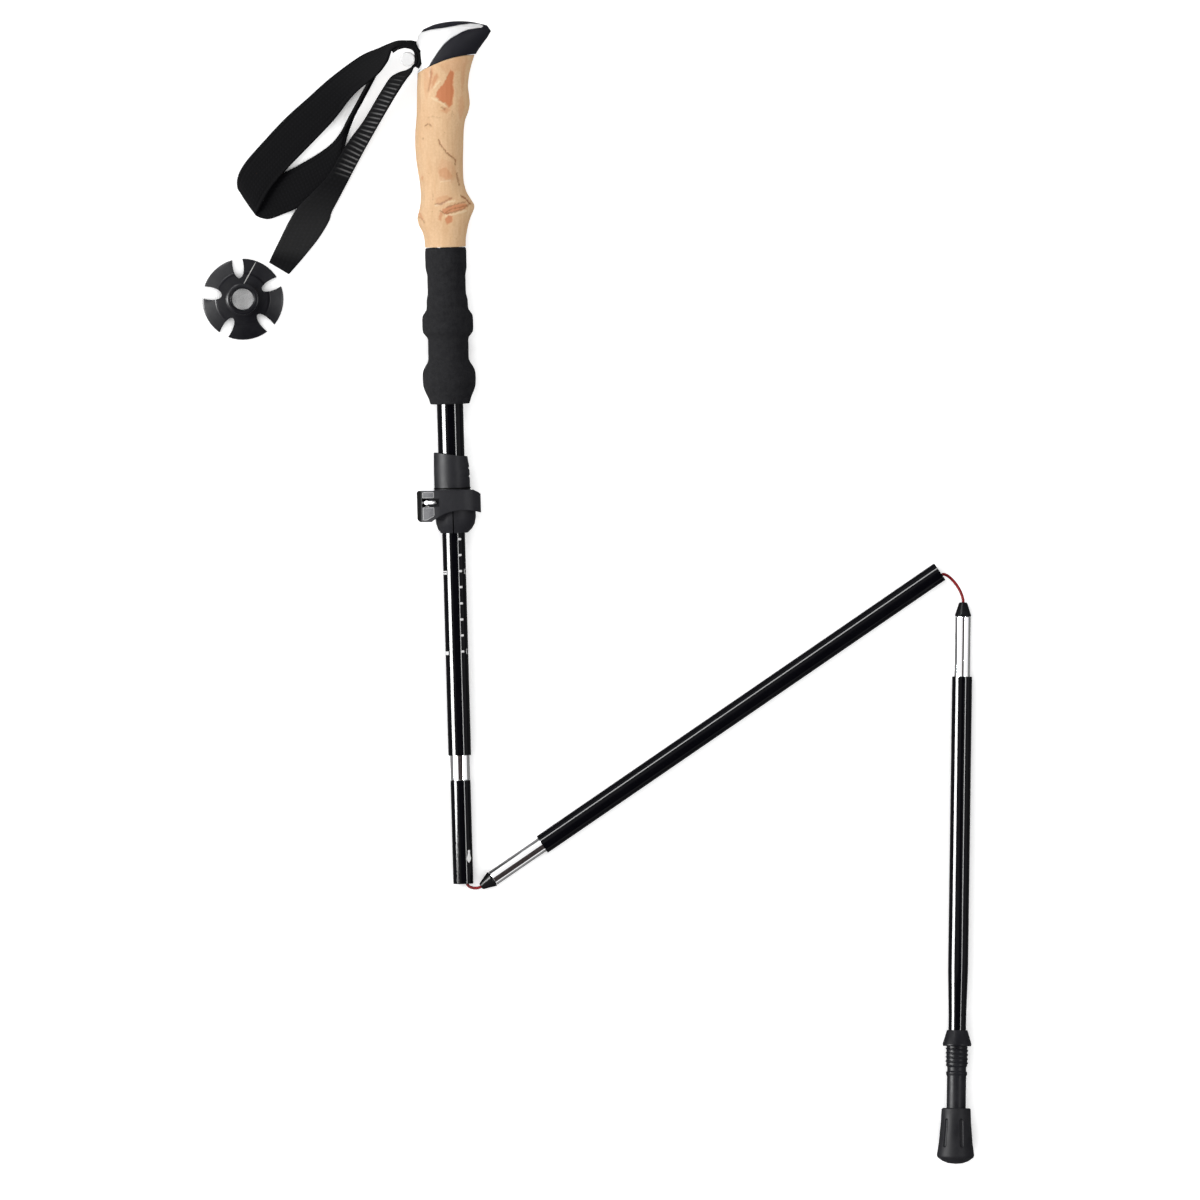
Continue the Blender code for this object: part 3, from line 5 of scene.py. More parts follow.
import bmesh
import bpy
from mathutils import Matrix, Vector, noise
from mathutils.bvhtree import BVHTree
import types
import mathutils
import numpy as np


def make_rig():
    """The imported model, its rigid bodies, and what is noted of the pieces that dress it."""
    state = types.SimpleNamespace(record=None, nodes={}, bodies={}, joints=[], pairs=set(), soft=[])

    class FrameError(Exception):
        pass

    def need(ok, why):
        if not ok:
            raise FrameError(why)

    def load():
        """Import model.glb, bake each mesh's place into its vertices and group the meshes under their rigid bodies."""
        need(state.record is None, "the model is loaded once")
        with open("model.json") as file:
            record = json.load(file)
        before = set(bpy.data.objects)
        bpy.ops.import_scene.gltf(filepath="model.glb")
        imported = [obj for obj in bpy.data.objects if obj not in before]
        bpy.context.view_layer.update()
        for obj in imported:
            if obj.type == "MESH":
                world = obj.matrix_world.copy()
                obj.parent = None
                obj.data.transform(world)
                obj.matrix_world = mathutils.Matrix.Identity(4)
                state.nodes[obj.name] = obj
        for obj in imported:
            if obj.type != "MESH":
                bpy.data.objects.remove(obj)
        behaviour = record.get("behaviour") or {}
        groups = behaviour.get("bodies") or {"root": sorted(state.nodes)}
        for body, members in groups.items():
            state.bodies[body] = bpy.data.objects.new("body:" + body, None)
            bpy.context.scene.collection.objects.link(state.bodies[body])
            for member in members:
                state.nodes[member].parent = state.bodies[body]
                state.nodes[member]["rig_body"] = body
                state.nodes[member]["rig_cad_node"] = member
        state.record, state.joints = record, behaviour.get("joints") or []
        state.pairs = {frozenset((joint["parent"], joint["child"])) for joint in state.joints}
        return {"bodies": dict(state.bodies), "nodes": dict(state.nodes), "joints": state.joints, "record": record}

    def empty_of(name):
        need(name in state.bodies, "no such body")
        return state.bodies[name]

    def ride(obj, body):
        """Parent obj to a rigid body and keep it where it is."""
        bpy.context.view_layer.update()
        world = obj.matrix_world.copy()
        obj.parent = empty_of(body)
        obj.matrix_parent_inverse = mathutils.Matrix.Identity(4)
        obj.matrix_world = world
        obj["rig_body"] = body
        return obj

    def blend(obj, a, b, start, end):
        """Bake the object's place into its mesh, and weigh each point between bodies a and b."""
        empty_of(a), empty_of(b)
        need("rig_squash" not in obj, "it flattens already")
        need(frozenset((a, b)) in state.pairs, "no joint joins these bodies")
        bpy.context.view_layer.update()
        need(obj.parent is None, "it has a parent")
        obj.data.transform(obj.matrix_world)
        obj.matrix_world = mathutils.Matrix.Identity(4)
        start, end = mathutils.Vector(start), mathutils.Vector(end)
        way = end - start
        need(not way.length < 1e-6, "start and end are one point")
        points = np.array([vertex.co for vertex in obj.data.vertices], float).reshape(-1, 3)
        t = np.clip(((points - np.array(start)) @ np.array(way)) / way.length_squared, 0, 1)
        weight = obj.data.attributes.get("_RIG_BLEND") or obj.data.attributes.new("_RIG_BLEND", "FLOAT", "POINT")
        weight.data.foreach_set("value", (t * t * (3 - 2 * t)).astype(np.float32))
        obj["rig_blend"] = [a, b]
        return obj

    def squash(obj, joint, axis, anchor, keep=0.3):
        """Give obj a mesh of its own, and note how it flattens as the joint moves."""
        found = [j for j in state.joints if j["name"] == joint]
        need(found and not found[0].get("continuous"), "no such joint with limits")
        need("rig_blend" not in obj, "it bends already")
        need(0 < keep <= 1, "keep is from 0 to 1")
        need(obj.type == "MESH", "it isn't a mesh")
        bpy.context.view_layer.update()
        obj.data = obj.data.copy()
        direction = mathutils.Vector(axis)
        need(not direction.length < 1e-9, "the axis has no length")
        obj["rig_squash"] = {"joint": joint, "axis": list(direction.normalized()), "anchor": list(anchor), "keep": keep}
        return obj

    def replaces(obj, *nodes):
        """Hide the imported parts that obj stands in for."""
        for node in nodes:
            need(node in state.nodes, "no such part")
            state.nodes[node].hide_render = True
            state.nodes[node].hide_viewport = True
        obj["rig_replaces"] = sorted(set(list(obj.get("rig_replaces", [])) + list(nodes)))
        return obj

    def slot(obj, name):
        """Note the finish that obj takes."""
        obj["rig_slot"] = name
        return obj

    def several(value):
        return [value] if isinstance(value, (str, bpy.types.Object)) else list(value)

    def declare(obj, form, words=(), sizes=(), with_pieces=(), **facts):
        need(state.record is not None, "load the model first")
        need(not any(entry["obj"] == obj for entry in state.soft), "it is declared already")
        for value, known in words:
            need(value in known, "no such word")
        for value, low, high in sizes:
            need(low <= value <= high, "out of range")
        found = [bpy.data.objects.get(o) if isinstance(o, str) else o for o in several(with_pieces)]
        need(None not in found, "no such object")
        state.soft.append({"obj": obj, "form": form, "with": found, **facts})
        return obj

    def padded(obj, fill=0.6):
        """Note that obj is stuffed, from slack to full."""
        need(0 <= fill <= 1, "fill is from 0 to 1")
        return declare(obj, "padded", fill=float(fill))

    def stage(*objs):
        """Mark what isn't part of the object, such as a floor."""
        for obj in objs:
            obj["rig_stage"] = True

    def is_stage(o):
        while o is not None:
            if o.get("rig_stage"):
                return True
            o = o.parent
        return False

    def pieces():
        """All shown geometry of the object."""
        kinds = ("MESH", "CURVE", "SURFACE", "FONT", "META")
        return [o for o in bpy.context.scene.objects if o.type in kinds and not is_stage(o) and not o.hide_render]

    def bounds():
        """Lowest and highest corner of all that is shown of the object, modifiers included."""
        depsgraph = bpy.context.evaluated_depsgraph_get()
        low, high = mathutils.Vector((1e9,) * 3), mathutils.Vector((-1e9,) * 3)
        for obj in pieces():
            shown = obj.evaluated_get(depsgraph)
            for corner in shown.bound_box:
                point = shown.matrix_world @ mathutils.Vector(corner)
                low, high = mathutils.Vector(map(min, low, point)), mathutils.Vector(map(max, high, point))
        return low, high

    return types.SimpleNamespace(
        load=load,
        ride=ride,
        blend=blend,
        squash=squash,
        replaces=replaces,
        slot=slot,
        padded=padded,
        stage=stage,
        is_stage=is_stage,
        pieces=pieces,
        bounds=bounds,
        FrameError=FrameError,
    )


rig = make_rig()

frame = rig.load()
cad_low, cad_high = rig.bounds()
nodes = frame["nodes"]

# The camera looks straight down from far off, so that the picture keeps the photograph's flat scale:
# a centimetre on the pole's printed scale covers 16.03 pixels.
PHOTO_SIZE = 1200
PIXEL = 0.01 / 16.03
ORIGIN_PX = (588.3, 592.3)
CAMERA_HEIGHT = 16.0


def ground_point(px, py):
    """The point on the ground, in metres, under a pixel of the photograph."""
    return Vector(((px - ORIGIN_PX[0]) * PIXEL, (ORIGIN_PX[1] - py) * PIXEL, 0.0))


def new_object(name, data):
    """An object in the scene, for a camera, a lamp or a mesh."""
    thing = bpy.data.objects.new(name, data)
    bpy.context.scene.collection.objects.link(thing)
    return thing


camera_data = bpy.data.cameras.new("photo_camera")
camera_data.sensor_width = 36.0
camera_data.lens = camera_data.sensor_width * CAMERA_HEIGHT / (PHOTO_SIZE * PIXEL)
camera_data.clip_end = 2 * CAMERA_HEIGHT
camera = new_object("photo_camera", camera_data)
camera.location = ground_point(PHOTO_SIZE / 2, PHOTO_SIZE / 2) + Vector((0.0, 0.0, CAMERA_HEIGHT))
bpy.context.scene.camera = camera
bpy.context.scene.view_settings.view_transform = "Standard"

# The floor is a pale board that glows a little, as a light table does, with painted shade where the
# pole lies close, darkest deep in a hole such as the basket's bore. Large soft lamps light it all, and
# narrow strips that only mirror in glossy faces give the black tubes their light lines.
FLOOR_SIZE = 60.0
FLOOR_COLOUR = (0.62, 0.62, 0.62)
FLOOR_GLOW = 0.77
FLOOR_MIRRORED = (0.26, 0.26, 0.26)
SHADED_REACH = 0.015
SHADED_FULLY, SHADED_NOT = 0.36, 0.52
CARD_HEIGHT = 6.0
CARD_COLOUR = (0.10, 0.083, 0.081)
SKY_LIGHT = 0.58
SKY_MIRRORED = 1.0
MIRROR_DEPTH = 2.5
WHITE = (1.0, 1.0, 1.0, 1.0)


def connect(tree, node, inputs):
    """Gives a node's inputs their values. Each is a value or another node's output."""
    for key, value in inputs.items():
        if isinstance(value, bpy.types.NodeSocket):
            tree.links.new(value, node.inputs[key])
        else:
            node.inputs[key].default_value = value


def add_node(tree, kind, inputs=None, **settings):
    node = tree.nodes.new(kind)
    for key, value in settings.items():
        setattr(node, key, value)
    connect(tree, node, inputs or {})
    return node


def maths(tree, operation, first, second):
    return add_node(tree, "ShaderNodeMath", {0: first, 1: second}, operation=operation).outputs[0]


def position(tree):
    """Where on its object a point lies, for the textures."""
    return add_node(tree, "ShaderNodeTexCoord").outputs["Object"]


def noise_texture(tree, place, scale, detail, roughness=0.5):
    return add_node(tree, "ShaderNodeTexNoise", {
        "Vector": place, "Scale": scale, "Detail": detail, "Roughness": roughness}).outputs["Fac"]


def surface_grain():
    """The shared grain of moulded and lacquered faces: a fine height and a broad, faint tone."""
    tree = bpy.data.node_groups.new("surface_grain", "ShaderNodeTree")
    for name, default in (("Scale", 1500.0), ("Smudge Scale", 60.0)):
        socket = tree.interface.new_socket(name, in_out="INPUT", socket_type="NodeSocketFloat")
        socket.default_value = default
    for name in ("Bump Height", "Tone"):
        tree.interface.new_socket(name, in_out="OUTPUT", socket_type="NodeSocketFloat")
    given = add_node(tree, "NodeGroupInput").outputs
    place = position(tree)
    add_node(tree, "NodeGroupOutput", {"Bump Height": noise_texture(tree, place, given["Scale"], 3.0, 0.6),
                                       "Tone": noise_texture(tree, place, given["Smudge Scale"], 4.0, 0.65)})
    return tree


GRAIN = surface_grain()


def blank_material(name, colour, roughness, metallic=0.0, specular=0.5):
    material = bpy.data.materials.new(name)
    material.use_nodes = True
    tree = material.node_tree
    shader = tree.nodes["Principled BSDF"]
    connect(tree, shader, {"Base Color": (*colour, 1.0), "Roughness": roughness, "Metallic": metallic,
                           "Specular IOR Level": specular})
    return material, tree, shader


def bump(tree, shader, height, distance):
    node = add_node(tree, "ShaderNodeBump", {"Height": height, "Distance": distance})
    connect(tree, shader, {"Normal": node.outputs["Normal"]})


def spread(tree, factor, low, high, first=0.35, last=0.65):
    """Maps a noise to values from low to high."""
    node = add_node(tree, "ShaderNodeMapRange", {
        "Value": factor, "From Min": first, "From Max": last, "To Min": low, "To Max": high})
    return node.outputs["Result"]


def mix(tree, factor, first, second):
    """A mix of two colours, each given as a tuple or as an output socket."""
    colours = [(*colour, 1.0) if isinstance(colour, tuple) else colour for colour in (first, second)]
    return add_node(tree, "ShaderNodeMix", {"Factor": factor, 6: colours[0], 7: colours[1]},
                    data_type="RGBA").outputs[2]


def grained_material(name, colour, wear_and_sheen, roughness, grain, metallic=0.0, specular=0.5, scale=1500.0):
    """A finish whose colour and roughness drift a little and whose face has a fine grain."""
    material, tree, shader = blank_material(name, colour, roughness[0], metallic, specular)
    group = add_node(tree, "ShaderNodeGroup", {"Scale": scale}, node_tree=GRAIN).outputs
    connect(tree, shader, {"Base Color": mix(tree, spread(tree, group["Tone"], 0.0, 1.0), colour, wear_and_sheen),
                           "Roughness": spread(tree, group["Tone"], *roughness)})
    bump(tree, shader, group["Bump Height"], grain)
    return material


def softbox(name, azimuth, elevation, distance, across, tall, radiance, mirrored_only=False):
    """A lamp facing the pole, with its radiance in the picture's own units. Azimuth 0 is to the right
    and 90 to the top of the photograph. A lamp that is only mirrored stays out of the later bounces,
    and so it throws no spots on the floor."""
    turn, rise = math.radians(azimuth), math.radians(elevation)
    away = Vector((math.cos(turn) * math.cos(rise), math.sin(turn) * math.cos(rise), math.sin(rise)))
    lamp_data = bpy.data.lights.new(name, "AREA")
    lamp_data.shape = "RECTANGLE"
    lamp_data.size, lamp_data.size_y = across, tall
    lamp_data.energy = radiance * math.pi * across * tall
    lamp = new_object(name, lamp_data)
    lamp.location = away * distance
    lamp.rotation_mode = "QUATERNION"
    lamp.rotation_quaternion = away.to_track_quat("Z", "Y")
    lamp.visible_camera = False
    lamp.visible_diffuse = not mirrored_only
    lamp.visible_glossy = mirrored_only
    if mirrored_only:
        lamp_data.use_nodes = True
        tree = lamp_data.node_tree
        depth = add_node(tree, "ShaderNodeLightPath").outputs["Ray Depth"]
        connect(tree, tree.nodes["Emission"], {"Strength": maths(tree, "LESS_THAN", depth, MIRROR_DEPTH)})


def rectangle(name, across, tall, material):
    """A flat sheet about its own centre."""
    x, y = across / 2, tall / 2
    mesh = bpy.data.meshes.new(name)
    mesh.from_pydata([(-x, -y, 0), (x, -y, 0), (x, y, 0), (-x, y, 0)], [], [(0, 1, 2, 3)])
    mesh.materials.append(material)
    return new_object(name, mesh)


def dark_card(name, centre, azimuth, length, width):
    """A dark brown card overhead that only mirrors see, for the dark bands in the bare metal."""
    card = rectangle(name, length, width, blank_material(name, CARD_COLOUR, 1.0, specular=0.0)[0])
    card.location = (*centre, CARD_HEIGHT)
    card.rotation_euler.z = math.radians(azimuth)
    for kind in ("camera", "diffuse", "shadow", "transmission"):
        setattr(card, "visible_" + kind, False)
    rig.stage(card)


board, board_tree, board_shader = blank_material("pale_board", FLOOR_COLOUR, 0.9, specular=0.0)
ray = add_node(board_tree, "ShaderNodeLightPath").outputs
# Painted shade: ambient occlusion dims the floor's glow where the pole or the basket lies close.
shade_occlusion = add_node(board_tree, "ShaderNodeAmbientOcclusion", {"Distance": SHADED_REACH}, samples=4)
glow_left_by_shade = spread(board_tree, shade_occlusion.outputs["AO"], 0.0, 1.0, SHADED_FULLY, SHADED_NOT)
glow = maths(board_tree, "MULTIPLY", ray["Is Camera Ray"], FLOOR_GLOW)
connect(board_tree, board_shader, {
    "Base Color": mix(board_tree, ray["Is Glossy Ray"], FLOOR_COLOUR, FLOOR_MIRRORED),
    "Emission Color": WHITE, "Emission Strength": maths(board_tree, "MULTIPLY", glow, glow_left_by_shade)})
floor = rectangle("floor", FLOOR_SIZE, FLOOR_SIZE, board)
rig.stage(floor)

world = bpy.data.worlds.new("studio")
world.use_nodes = True
sky = world.node_tree
mirrored = add_node(sky, "ShaderNodeLightPath").outputs["Is Glossy Ray"]
connect(sky, sky.nodes["Background"], {
    "Color": WHITE, "Strength": spread(sky, mirrored, SKY_LIGHT, SKY_MIRRORED, 0.0, 1.0)})
bpy.context.scene.world = world
softbox("key", 172.0, 38.0, 8.0, 5.0, 4.0, 4.2)
softbox("overhead", 150.0, 66.0, 6.0, 5.0, 5.0, 0.6)
softbox("left_strip", 180.0, 29.0, 8.0, 1.6, 4.4, 165.0, mirrored_only=True)
softbox("right_line", 0.0, 47.5, 8.0, 1.6, 1.1, 70.0, mirrored_only=True)
softbox("upper_line", 124.5, 40.0, 8.0, 1.6, 1.7, 56.0, mirrored_only=True)
dark_card("band_card", (1.30, -1.75), 0.0, 7.6, 3.2)
dark_card("middle_card", (5.7, -8.7), -55.5, 20.0, 4.6)
dark_card("line_card", (0.55, 1.2), 0.0, 1.6, 2.5)

# The head is a white moulded core under a black soft-touch cover. Both are injection moulded, and the
# cover is snapped into its pocket over the beak, the side and the crown.
white_plastic = grained_material("white_plastic", (0.97, 0.97, 0.97), (0.94, 0.94, 0.94), (0.36, 0.46),
                                 0.00002, specular=0.3)
soft_black = grained_material("soft_touch_black", (0.008, 0.008, 0.013), (0.013, 0.013, 0.019),
                              (0.55, 0.68), 0.00005, specular=0.10, scale=2600.0)
MM = 0.001
EDGE_ANGLE = math.radians(32.0)
FLAT_ANGLE = math.radians(0.5)
SAME_POINT = 2e-6


def dress(material, *names):
    """Gives CAD pieces their real finish."""
    for name in names:
        mesh = nodes[name].data
        mesh.materials.clear()
        mesh.materials.append(material)


def add_piece(name, mesh, material, body, slot):
    """A new piece of the scene, already in place, that rides on a body."""
    mesh.materials.append(material)
    if not mesh.has_custom_normals:
        mesh.shade_smooth()
    piece = new_object(name, mesh)
    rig.ride(piece, body)
    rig.slot(piece, slot)
    return piece


def reshaped(name, mesh, changes):
    """A mesh after some of Blender's modifiers, each given as its kind and its settings."""
    holder = new_object(name, mesh)
    for kind, settings in changes:
        modifier = holder.modifiers.new(kind, kind)
        for key, value in settings.items():
            setattr(modifier, key, value)
    bpy.context.view_layer.update()
    result = bpy.data.meshes.new_from_object(holder.evaluated_get(bpy.context.evaluated_depsgraph_get()))
    result.name = name
    bpy.data.objects.remove(holder)
    return result


def finished(name, shape):
    """The mesh of a shape that is done with."""
    mesh = bpy.data.meshes.new(name)
    shape.to_mesh(mesh)
    shape.free()
    return mesh


def joined(node):
    """A copy of a CAD piece's mesh with its faces joined up, so that round faces shade as one."""
    shape = bmesh.new()
    shape.from_mesh(nodes[node].data)
    bmesh.ops.remove_doubles(shape, verts=shape.verts[:], dist=SAME_POINT)
    bmesh.ops.dissolve_limit(shape, angle_limit=FLAT_ANGLE, verts=shape.verts[:], edges=shape.edges[:])
    mesh = finished(node + "_copy", shape)
    if "custom_normal" in mesh.attributes:
        mesh.attributes.remove(mesh.attributes["custom_normal"])
    mesh.shade_smooth()
    mesh.set_sharp_from_angle(angle=EDGE_ANGLE)
    return mesh


def moulded(name, node, body, material, edge, slot, others=()):
    """A piece as the CAD has it, with the rounded edges of a real one."""
    mesh = reshaped(name, joined(node), [
        *others,
        ("BEVEL", {"width": edge * MM, "segments": 3, "limit_method": "ANGLE", "angle_limit": EDGE_ANGLE,
                   "miter_outer": "MITER_ARC"}),
        ("WEIGHTED_NORMAL", {"keep_sharp": True})])
    piece = add_piece(name, mesh, material, body, slot)
    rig.replaces(piece, node)


moulded("head_moulding", "head_core", "grip", white_plastic, 0.3, "white_plastic")
moulded("head_skin", "head_cover", "grip", soft_black, 0.3, "soft_touch_black")
dress(white_plastic, "strap_bush")

# The strap pin is turned steel, held in the head's lug under the strap. The webbing's white bush turns
# on it.
steel = grained_material("steel", (0.58, 0.58, 0.60), (0.50, 0.50, 0.51), (0.22, 0.34), 0.000008,
                         metallic=1.0, scale=3000.0)
dress(steel, "strap_pin")

# The wrist band is black padded fabric with bound, stitched edges. It is folded back on itself, wraps
# round the pin and is sewn to the tail.
STRAP_PIN = Vector((-112.469, 332.063, 0.0))
PIN_HEIGHT = 23.1
HALF_WEBBING = 8.0
SWING_START = (STRAP_PIN + Vector((-9.1, -10.6, 0.0))) * MM
SWING_END = (STRAP_PIN + Vector((-29.3, -34.2, 0.0))) * MM
# Each bight's rows are an angle and two radii. The other rows are a point on each edge of the strap.
PAD_BIGHT = ((-42, 7.9, 7.9), (-18, 7.8, 7.8), (8, 8, 7.7), (32, 9.4, 7.7), (50, 10.9, 8.2),
             (62, 11.5, 8.6), (78, 11.2, 8.8), (90, 11, 8.8))
PAD_STATIONS = (
    (-6, 10.9, 15.1, -6, 8.6, 31.1), (-11, 9.4, 13.8, -10.5, 5.9, 30),
    (-17.5, 7, 11, -13.2, -1.5, 25), (-29.5, 2.1, 6.5, -19.5, -9.8, 15),
    (-47.5, -10.6, 4.4, -33.5, -21.5, 6.5), (-62.4, -23.7, 4.2, -46.3, -37.7, 4.6),
    (-77.3, -37.2, 4.3, -60.5, -52.7, 4.4), (-90.9, -51.8, 4.6, -75, -67.6, 4.6),
    (-99.6, -61.6, 4.8, -84, -78, 4.8), (-104.4, -68.6, 4.8, -89.4, -86.5, 4.8),
    (-106.3, -74.2, 4.4, -92.6, -92.6, 4.4), (-106, -78.6, 3, -94.4, -95.9, 3),
    (-104.2, -80.4, 1.5, -91.6, -98.4, 1.5), (-98.6, -77.6, 1.4, -86.6, -99.2, 1.4),
    (-90, -75, 1.4, -79.4, -96.8, 1.4), (-76.5, -69.8, 1.4, -66.5, -91, 1.4),
    (-60.9, -61.4, 1.4, -53.4, -81.7, 1.4), (-49.1, -53.3, 1.7, -42.2, -68, 1.4),
    (-41.8, -45, 4.5, -38.8, -50, 1.6), (-36.2, -36, 10.5, -34.4, -36, 2.6),
    (-30.2, -25, 11, -28.8, -25.4, 3.6), (-24.6, -14.6, 11.5, -23.4, -15.2, 4),
    (-19.8, -5.6, 11.5, -18.8, -6.4, 3.5))
WEBBING_BIGHT = ((-56, 5.75, 5.75), (-27, 5.75, 5.75), (2, 5.75, 5.75), (31, 5.95, 5.95),
                 (60, 7.1, 7.2), (90, 7.6, 7.7))
WEBBING_STATIONS = (
    (-86.7, -126.3, 1.2, -74.3, -133.7, 1.2), (-84, -120.4, 1.2, -65.9, -124.1, 1.2),
    (-79.3, -110.8, 1.4, -55.9, -111.6, 1.2), (-74.3, -100.9, 2.6, -49.4, -100.9, 1.4),
    (-68.8, -92.3, 4, -47.5, -94.8, 2.2), (-60.3, -83.6, 4.4, -43.5, -87.3, 3),
    (-50.3, -73, 4.4, -37.9, -76.7, 3.8), (-43.2, -61.1, 4.4, -32.2, -65.8, 4.6),
    (-36, -49.3, 5.6, -26, -54.3, 7), (-27.6, -38.2, 7.6, -17.9, -39.9, 12),
    (-18.4, -23, 10.2, -9.6, -25.6, 19), (-14.6, -17, 11.6, -5.6, -19.2, 23.5),
    (-10.6, -11.4, 13.4, -1.4, -12.8, 27), (-5.6, -8.6, 14.8, 1.8, -8.8, 30),
    (-0.8, -7.2, 15.1, 2.8, -6.4, 31.1))
# Past the pin, the tail's sewn end lies under the band.
WEBBING_SEWN = ((-5.8, 8.1, 15.1, -5.6, 6.6, 31.1), (-10.4, 6.9, 14.2, -9.4, 4.2, 30.2))
PAD_HALF, PAD_CROWN = 1.1, 0.16
BINDING = 2.6
SEAM_PITCH, SEAM_HALF, SEAM_DEPTH, STITCH_RISE = 2.4, 0.35, 0.30, 0.16
WEAVE_SCALE = 0.1
WEAVE_DEPTH = 0.00012
# The pale of the painted highlights on the ribs' crests and of the painted sheen on the tail's flat end.
RIB_PALE = (0.20, 0.20, 0.20)


def new_mesh(name, points, faces, place=Matrix.Identity(4)):
    """A mesh from points in millimetres, laid in place by a matrix."""
    mesh = bpy.data.meshes.new(name)
    mesh.from_pydata([place @ (Vector(point) * MM) for point in points], [], faces)
    mesh.update()
    return mesh


def paint(mesh, name, colours):
    """Gives each point of a mesh a colour, for its material to read."""
    layer = mesh.color_attributes.new(name, "FLOAT_COLOR", "POINT")
    for index, colour in enumerate(colours):
        layer.data[index].color = (*colour, 1.0)
    return mesh


def clamped(value):
    return min(1.0, max(0.0, value))


def smooth_rows(rows, step):
    """Points of a Catmull-Rom curve through rows of numbers, about a step apart."""
    result = []
    last = len(rows) - 1
    for i in range(last):
        around = rows[max(i - 1, 0)], rows[i], rows[i + 1], rows[min(i + 2, last)]
        gap = max(math.dist(rows[i][:3], rows[i + 1][:3]), math.dist(rows[i][-3:], rows[i + 1][-3:]))
        count = max(1, math.ceil(gap / step))
        for k in range(count):
            t = k / count
            result.append([0.5 * (2 * b + (c - a) * t + (2 * a - 5 * b + 4 * c - d) * t * t
                                  + (3 * b - a - 3 * c + d) * t ** 3) for a, b, c, d in zip(*around)])
    return result + [list(rows[last])]


def bight(rows):
    """Stations round the strap pin, from each angle and its radii at the lower and the upper edge."""
    stations = []
    for degrees, lower, upper in rows:
        way = Vector((math.cos(math.radians(degrees)), math.sin(math.radians(degrees))))
        stations.append((*(way * lower), PIN_HEIGHT - HALF_WEBBING, *(way * upper),
                         PIN_HEIGHT + HALF_WEBBING))
    return tuple(stations)


def strap_mesh(name, stations, columns, step, profile, shade=lambda across, along: 0.0):
    """A strap through pairs of edge points. The profile gives half its thickness across and along,
    and the shade how pale its threads are painted there, as painted sheen and highlights."""
    lines, along = [], [0.0]
    for row in smooth_rows(stations, step):
        left, right = Vector(row[:3]), Vector(row[3:])
        lines.append([left.lerp(right, k / columns) for k in range(columns + 1)])
        if len(lines) > 1:
            middle = columns // 2
            along.append(along[-1] + (lines[-1][middle] - lines[-2][middle]).length)
    points, places, pale = [], [], []
    last = len(lines) - 1
    for i, line in enumerate(lines):
        width = (line[-1] - line[0]).length
        for k, point in enumerate(line):
            run = lines[min(i + 1, last)][k] - lines[max(i - 1, 0)][k]
            side = line[min(k + 1, columns)] - line[max(k - 1, 0)]
            normal = run.cross(side).normalized()
            across = k / columns * width
            for face in (1.0, -1.0):
                points.append(STRAP_PIN + point + normal * profile(across, width, along[i]) * face)
                places.append((across * MM, along[i] * MM))
                pale.append([shade(k / columns, along[i])] * 3)
    stride = 2 * (columns + 1)
    faces = []
    for i in range(0, last * stride, stride):
        for a in range(i, i + 2 * columns, 2):
            faces += [(a, a + 2, a + stride + 2, a + stride), (a + 1, a + stride + 1, a + stride + 3, a + 3)]
        for a, b in ((i, i + 1), (i + 2 * columns + 1, i + 2 * columns)):
            faces.append((a, a + stride, b + stride, b))
    for i in (0, last * stride):
        faces += [(a, a + 2, a + 3, a + 1) for a in range(i, i + 2 * columns, 2)]
    mesh = new_mesh(name, points, faces)
    layer = mesh.uv_layers.new(name="weave")
    for loop in mesh.loops:
        layer.data[loop.index].uv = places[loop.vertex_index]
    return paint(mesh, "wear_and_sheen", pale)


def point_colour(tree, layer):
    return add_node(tree, "ShaderNodeVertexColor", layer_name=layer).outputs["Color"]


def woven_material(name, colour, lit, thread):
    """Black fabric: warp and weft threads a set width apart with a little fuzz, paled where its points carry painted
    sheen and painted highlights.
    """
    material, tree, shader = blank_material(name, colour, 0.9, specular=0.05)
    place = add_node(tree, "ShaderNodeUVMap", uv_map="weave").outputs["UV"]
    waves = {"Vector": place, "Scale": WEAVE_SCALE / thread, "Distortion": 0.6, "Detail": 1.0,
             "Detail Scale": 2.0}
    warp, weft = [add_node(tree, "ShaderNodeTexWave", waves, bands_direction=axis).outputs["Fac"]
                  for axis in ("X", "Y")]
    weave = maths(tree, "MULTIPLY", warp, weft)
    fuzz = add_node(tree, "ShaderNodeGroup", {"Smudge Scale": 120.0}, node_tree=GRAIN).outputs["Tone"]
    fabric = mix(tree, maths(tree, "MULTIPLY", weave, fuzz), colour, lit)
    # Painted sheen and painted highlights: where the strap's points are painted pale, the fabric pales towards
    # RIB_PALE.
    connect(tree, shader, {"Base Color": mix(tree, point_colour(tree, "wear_and_sheen"), fabric, RIB_PALE)})
    bump(tree, shader, weave, WEAVE_DEPTH)
    return material


def add_bending_piece(name, mesh, material, bodies, start, end, slot):
    """A new soft piece that bends between two bodies, from a start point to an end point."""
    mesh.materials.append(material)
    mesh.shade_smooth()
    piece = new_object(name, mesh)
    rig.slot(piece, slot)
    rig.blend(piece, *bodies, start, end)
    return piece


def rounded(value, edge):
    """1 inside a strap and falling in a quarter circle over the last stretch before its edge."""
    return math.sqrt(1.0 - (1.0 - clamped(value / edge)) ** 2)


def pad_profile(across, width, along):
    """The band is bound along both edges, with a stitched groove beside each binding."""
    inner = min(across, width - across)
    groove = math.exp(-((inner - BINDING) / SEAM_HALF) ** 2)
    stitch = 0.5 + 0.5 * math.cos(math.tau * along / SEAM_PITCH)
    crown = PAD_CROWN * clamped((inner - BINDING) / 4.0)
    return PAD_HALF * rounded(inner + 0.25, 1.1) - groove * (SEAM_DEPTH - STITCH_RISE * stitch) + crown


fabric = woven_material("webbing", (0.0014, 0.0014, 0.0020), (0.005, 0.005, 0.007), 0.0007)
pad = add_bending_piece(
    "wrist_band", strap_mesh("wrist_band", bight(PAD_BIGHT) + PAD_STATIONS, 40, 0.8, pad_profile),
    fabric, ("grip", "strap"), SWING_START, SWING_END, "webbing")
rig.replaces(pad, "strap_pad")
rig.padded(pad, 0.35)

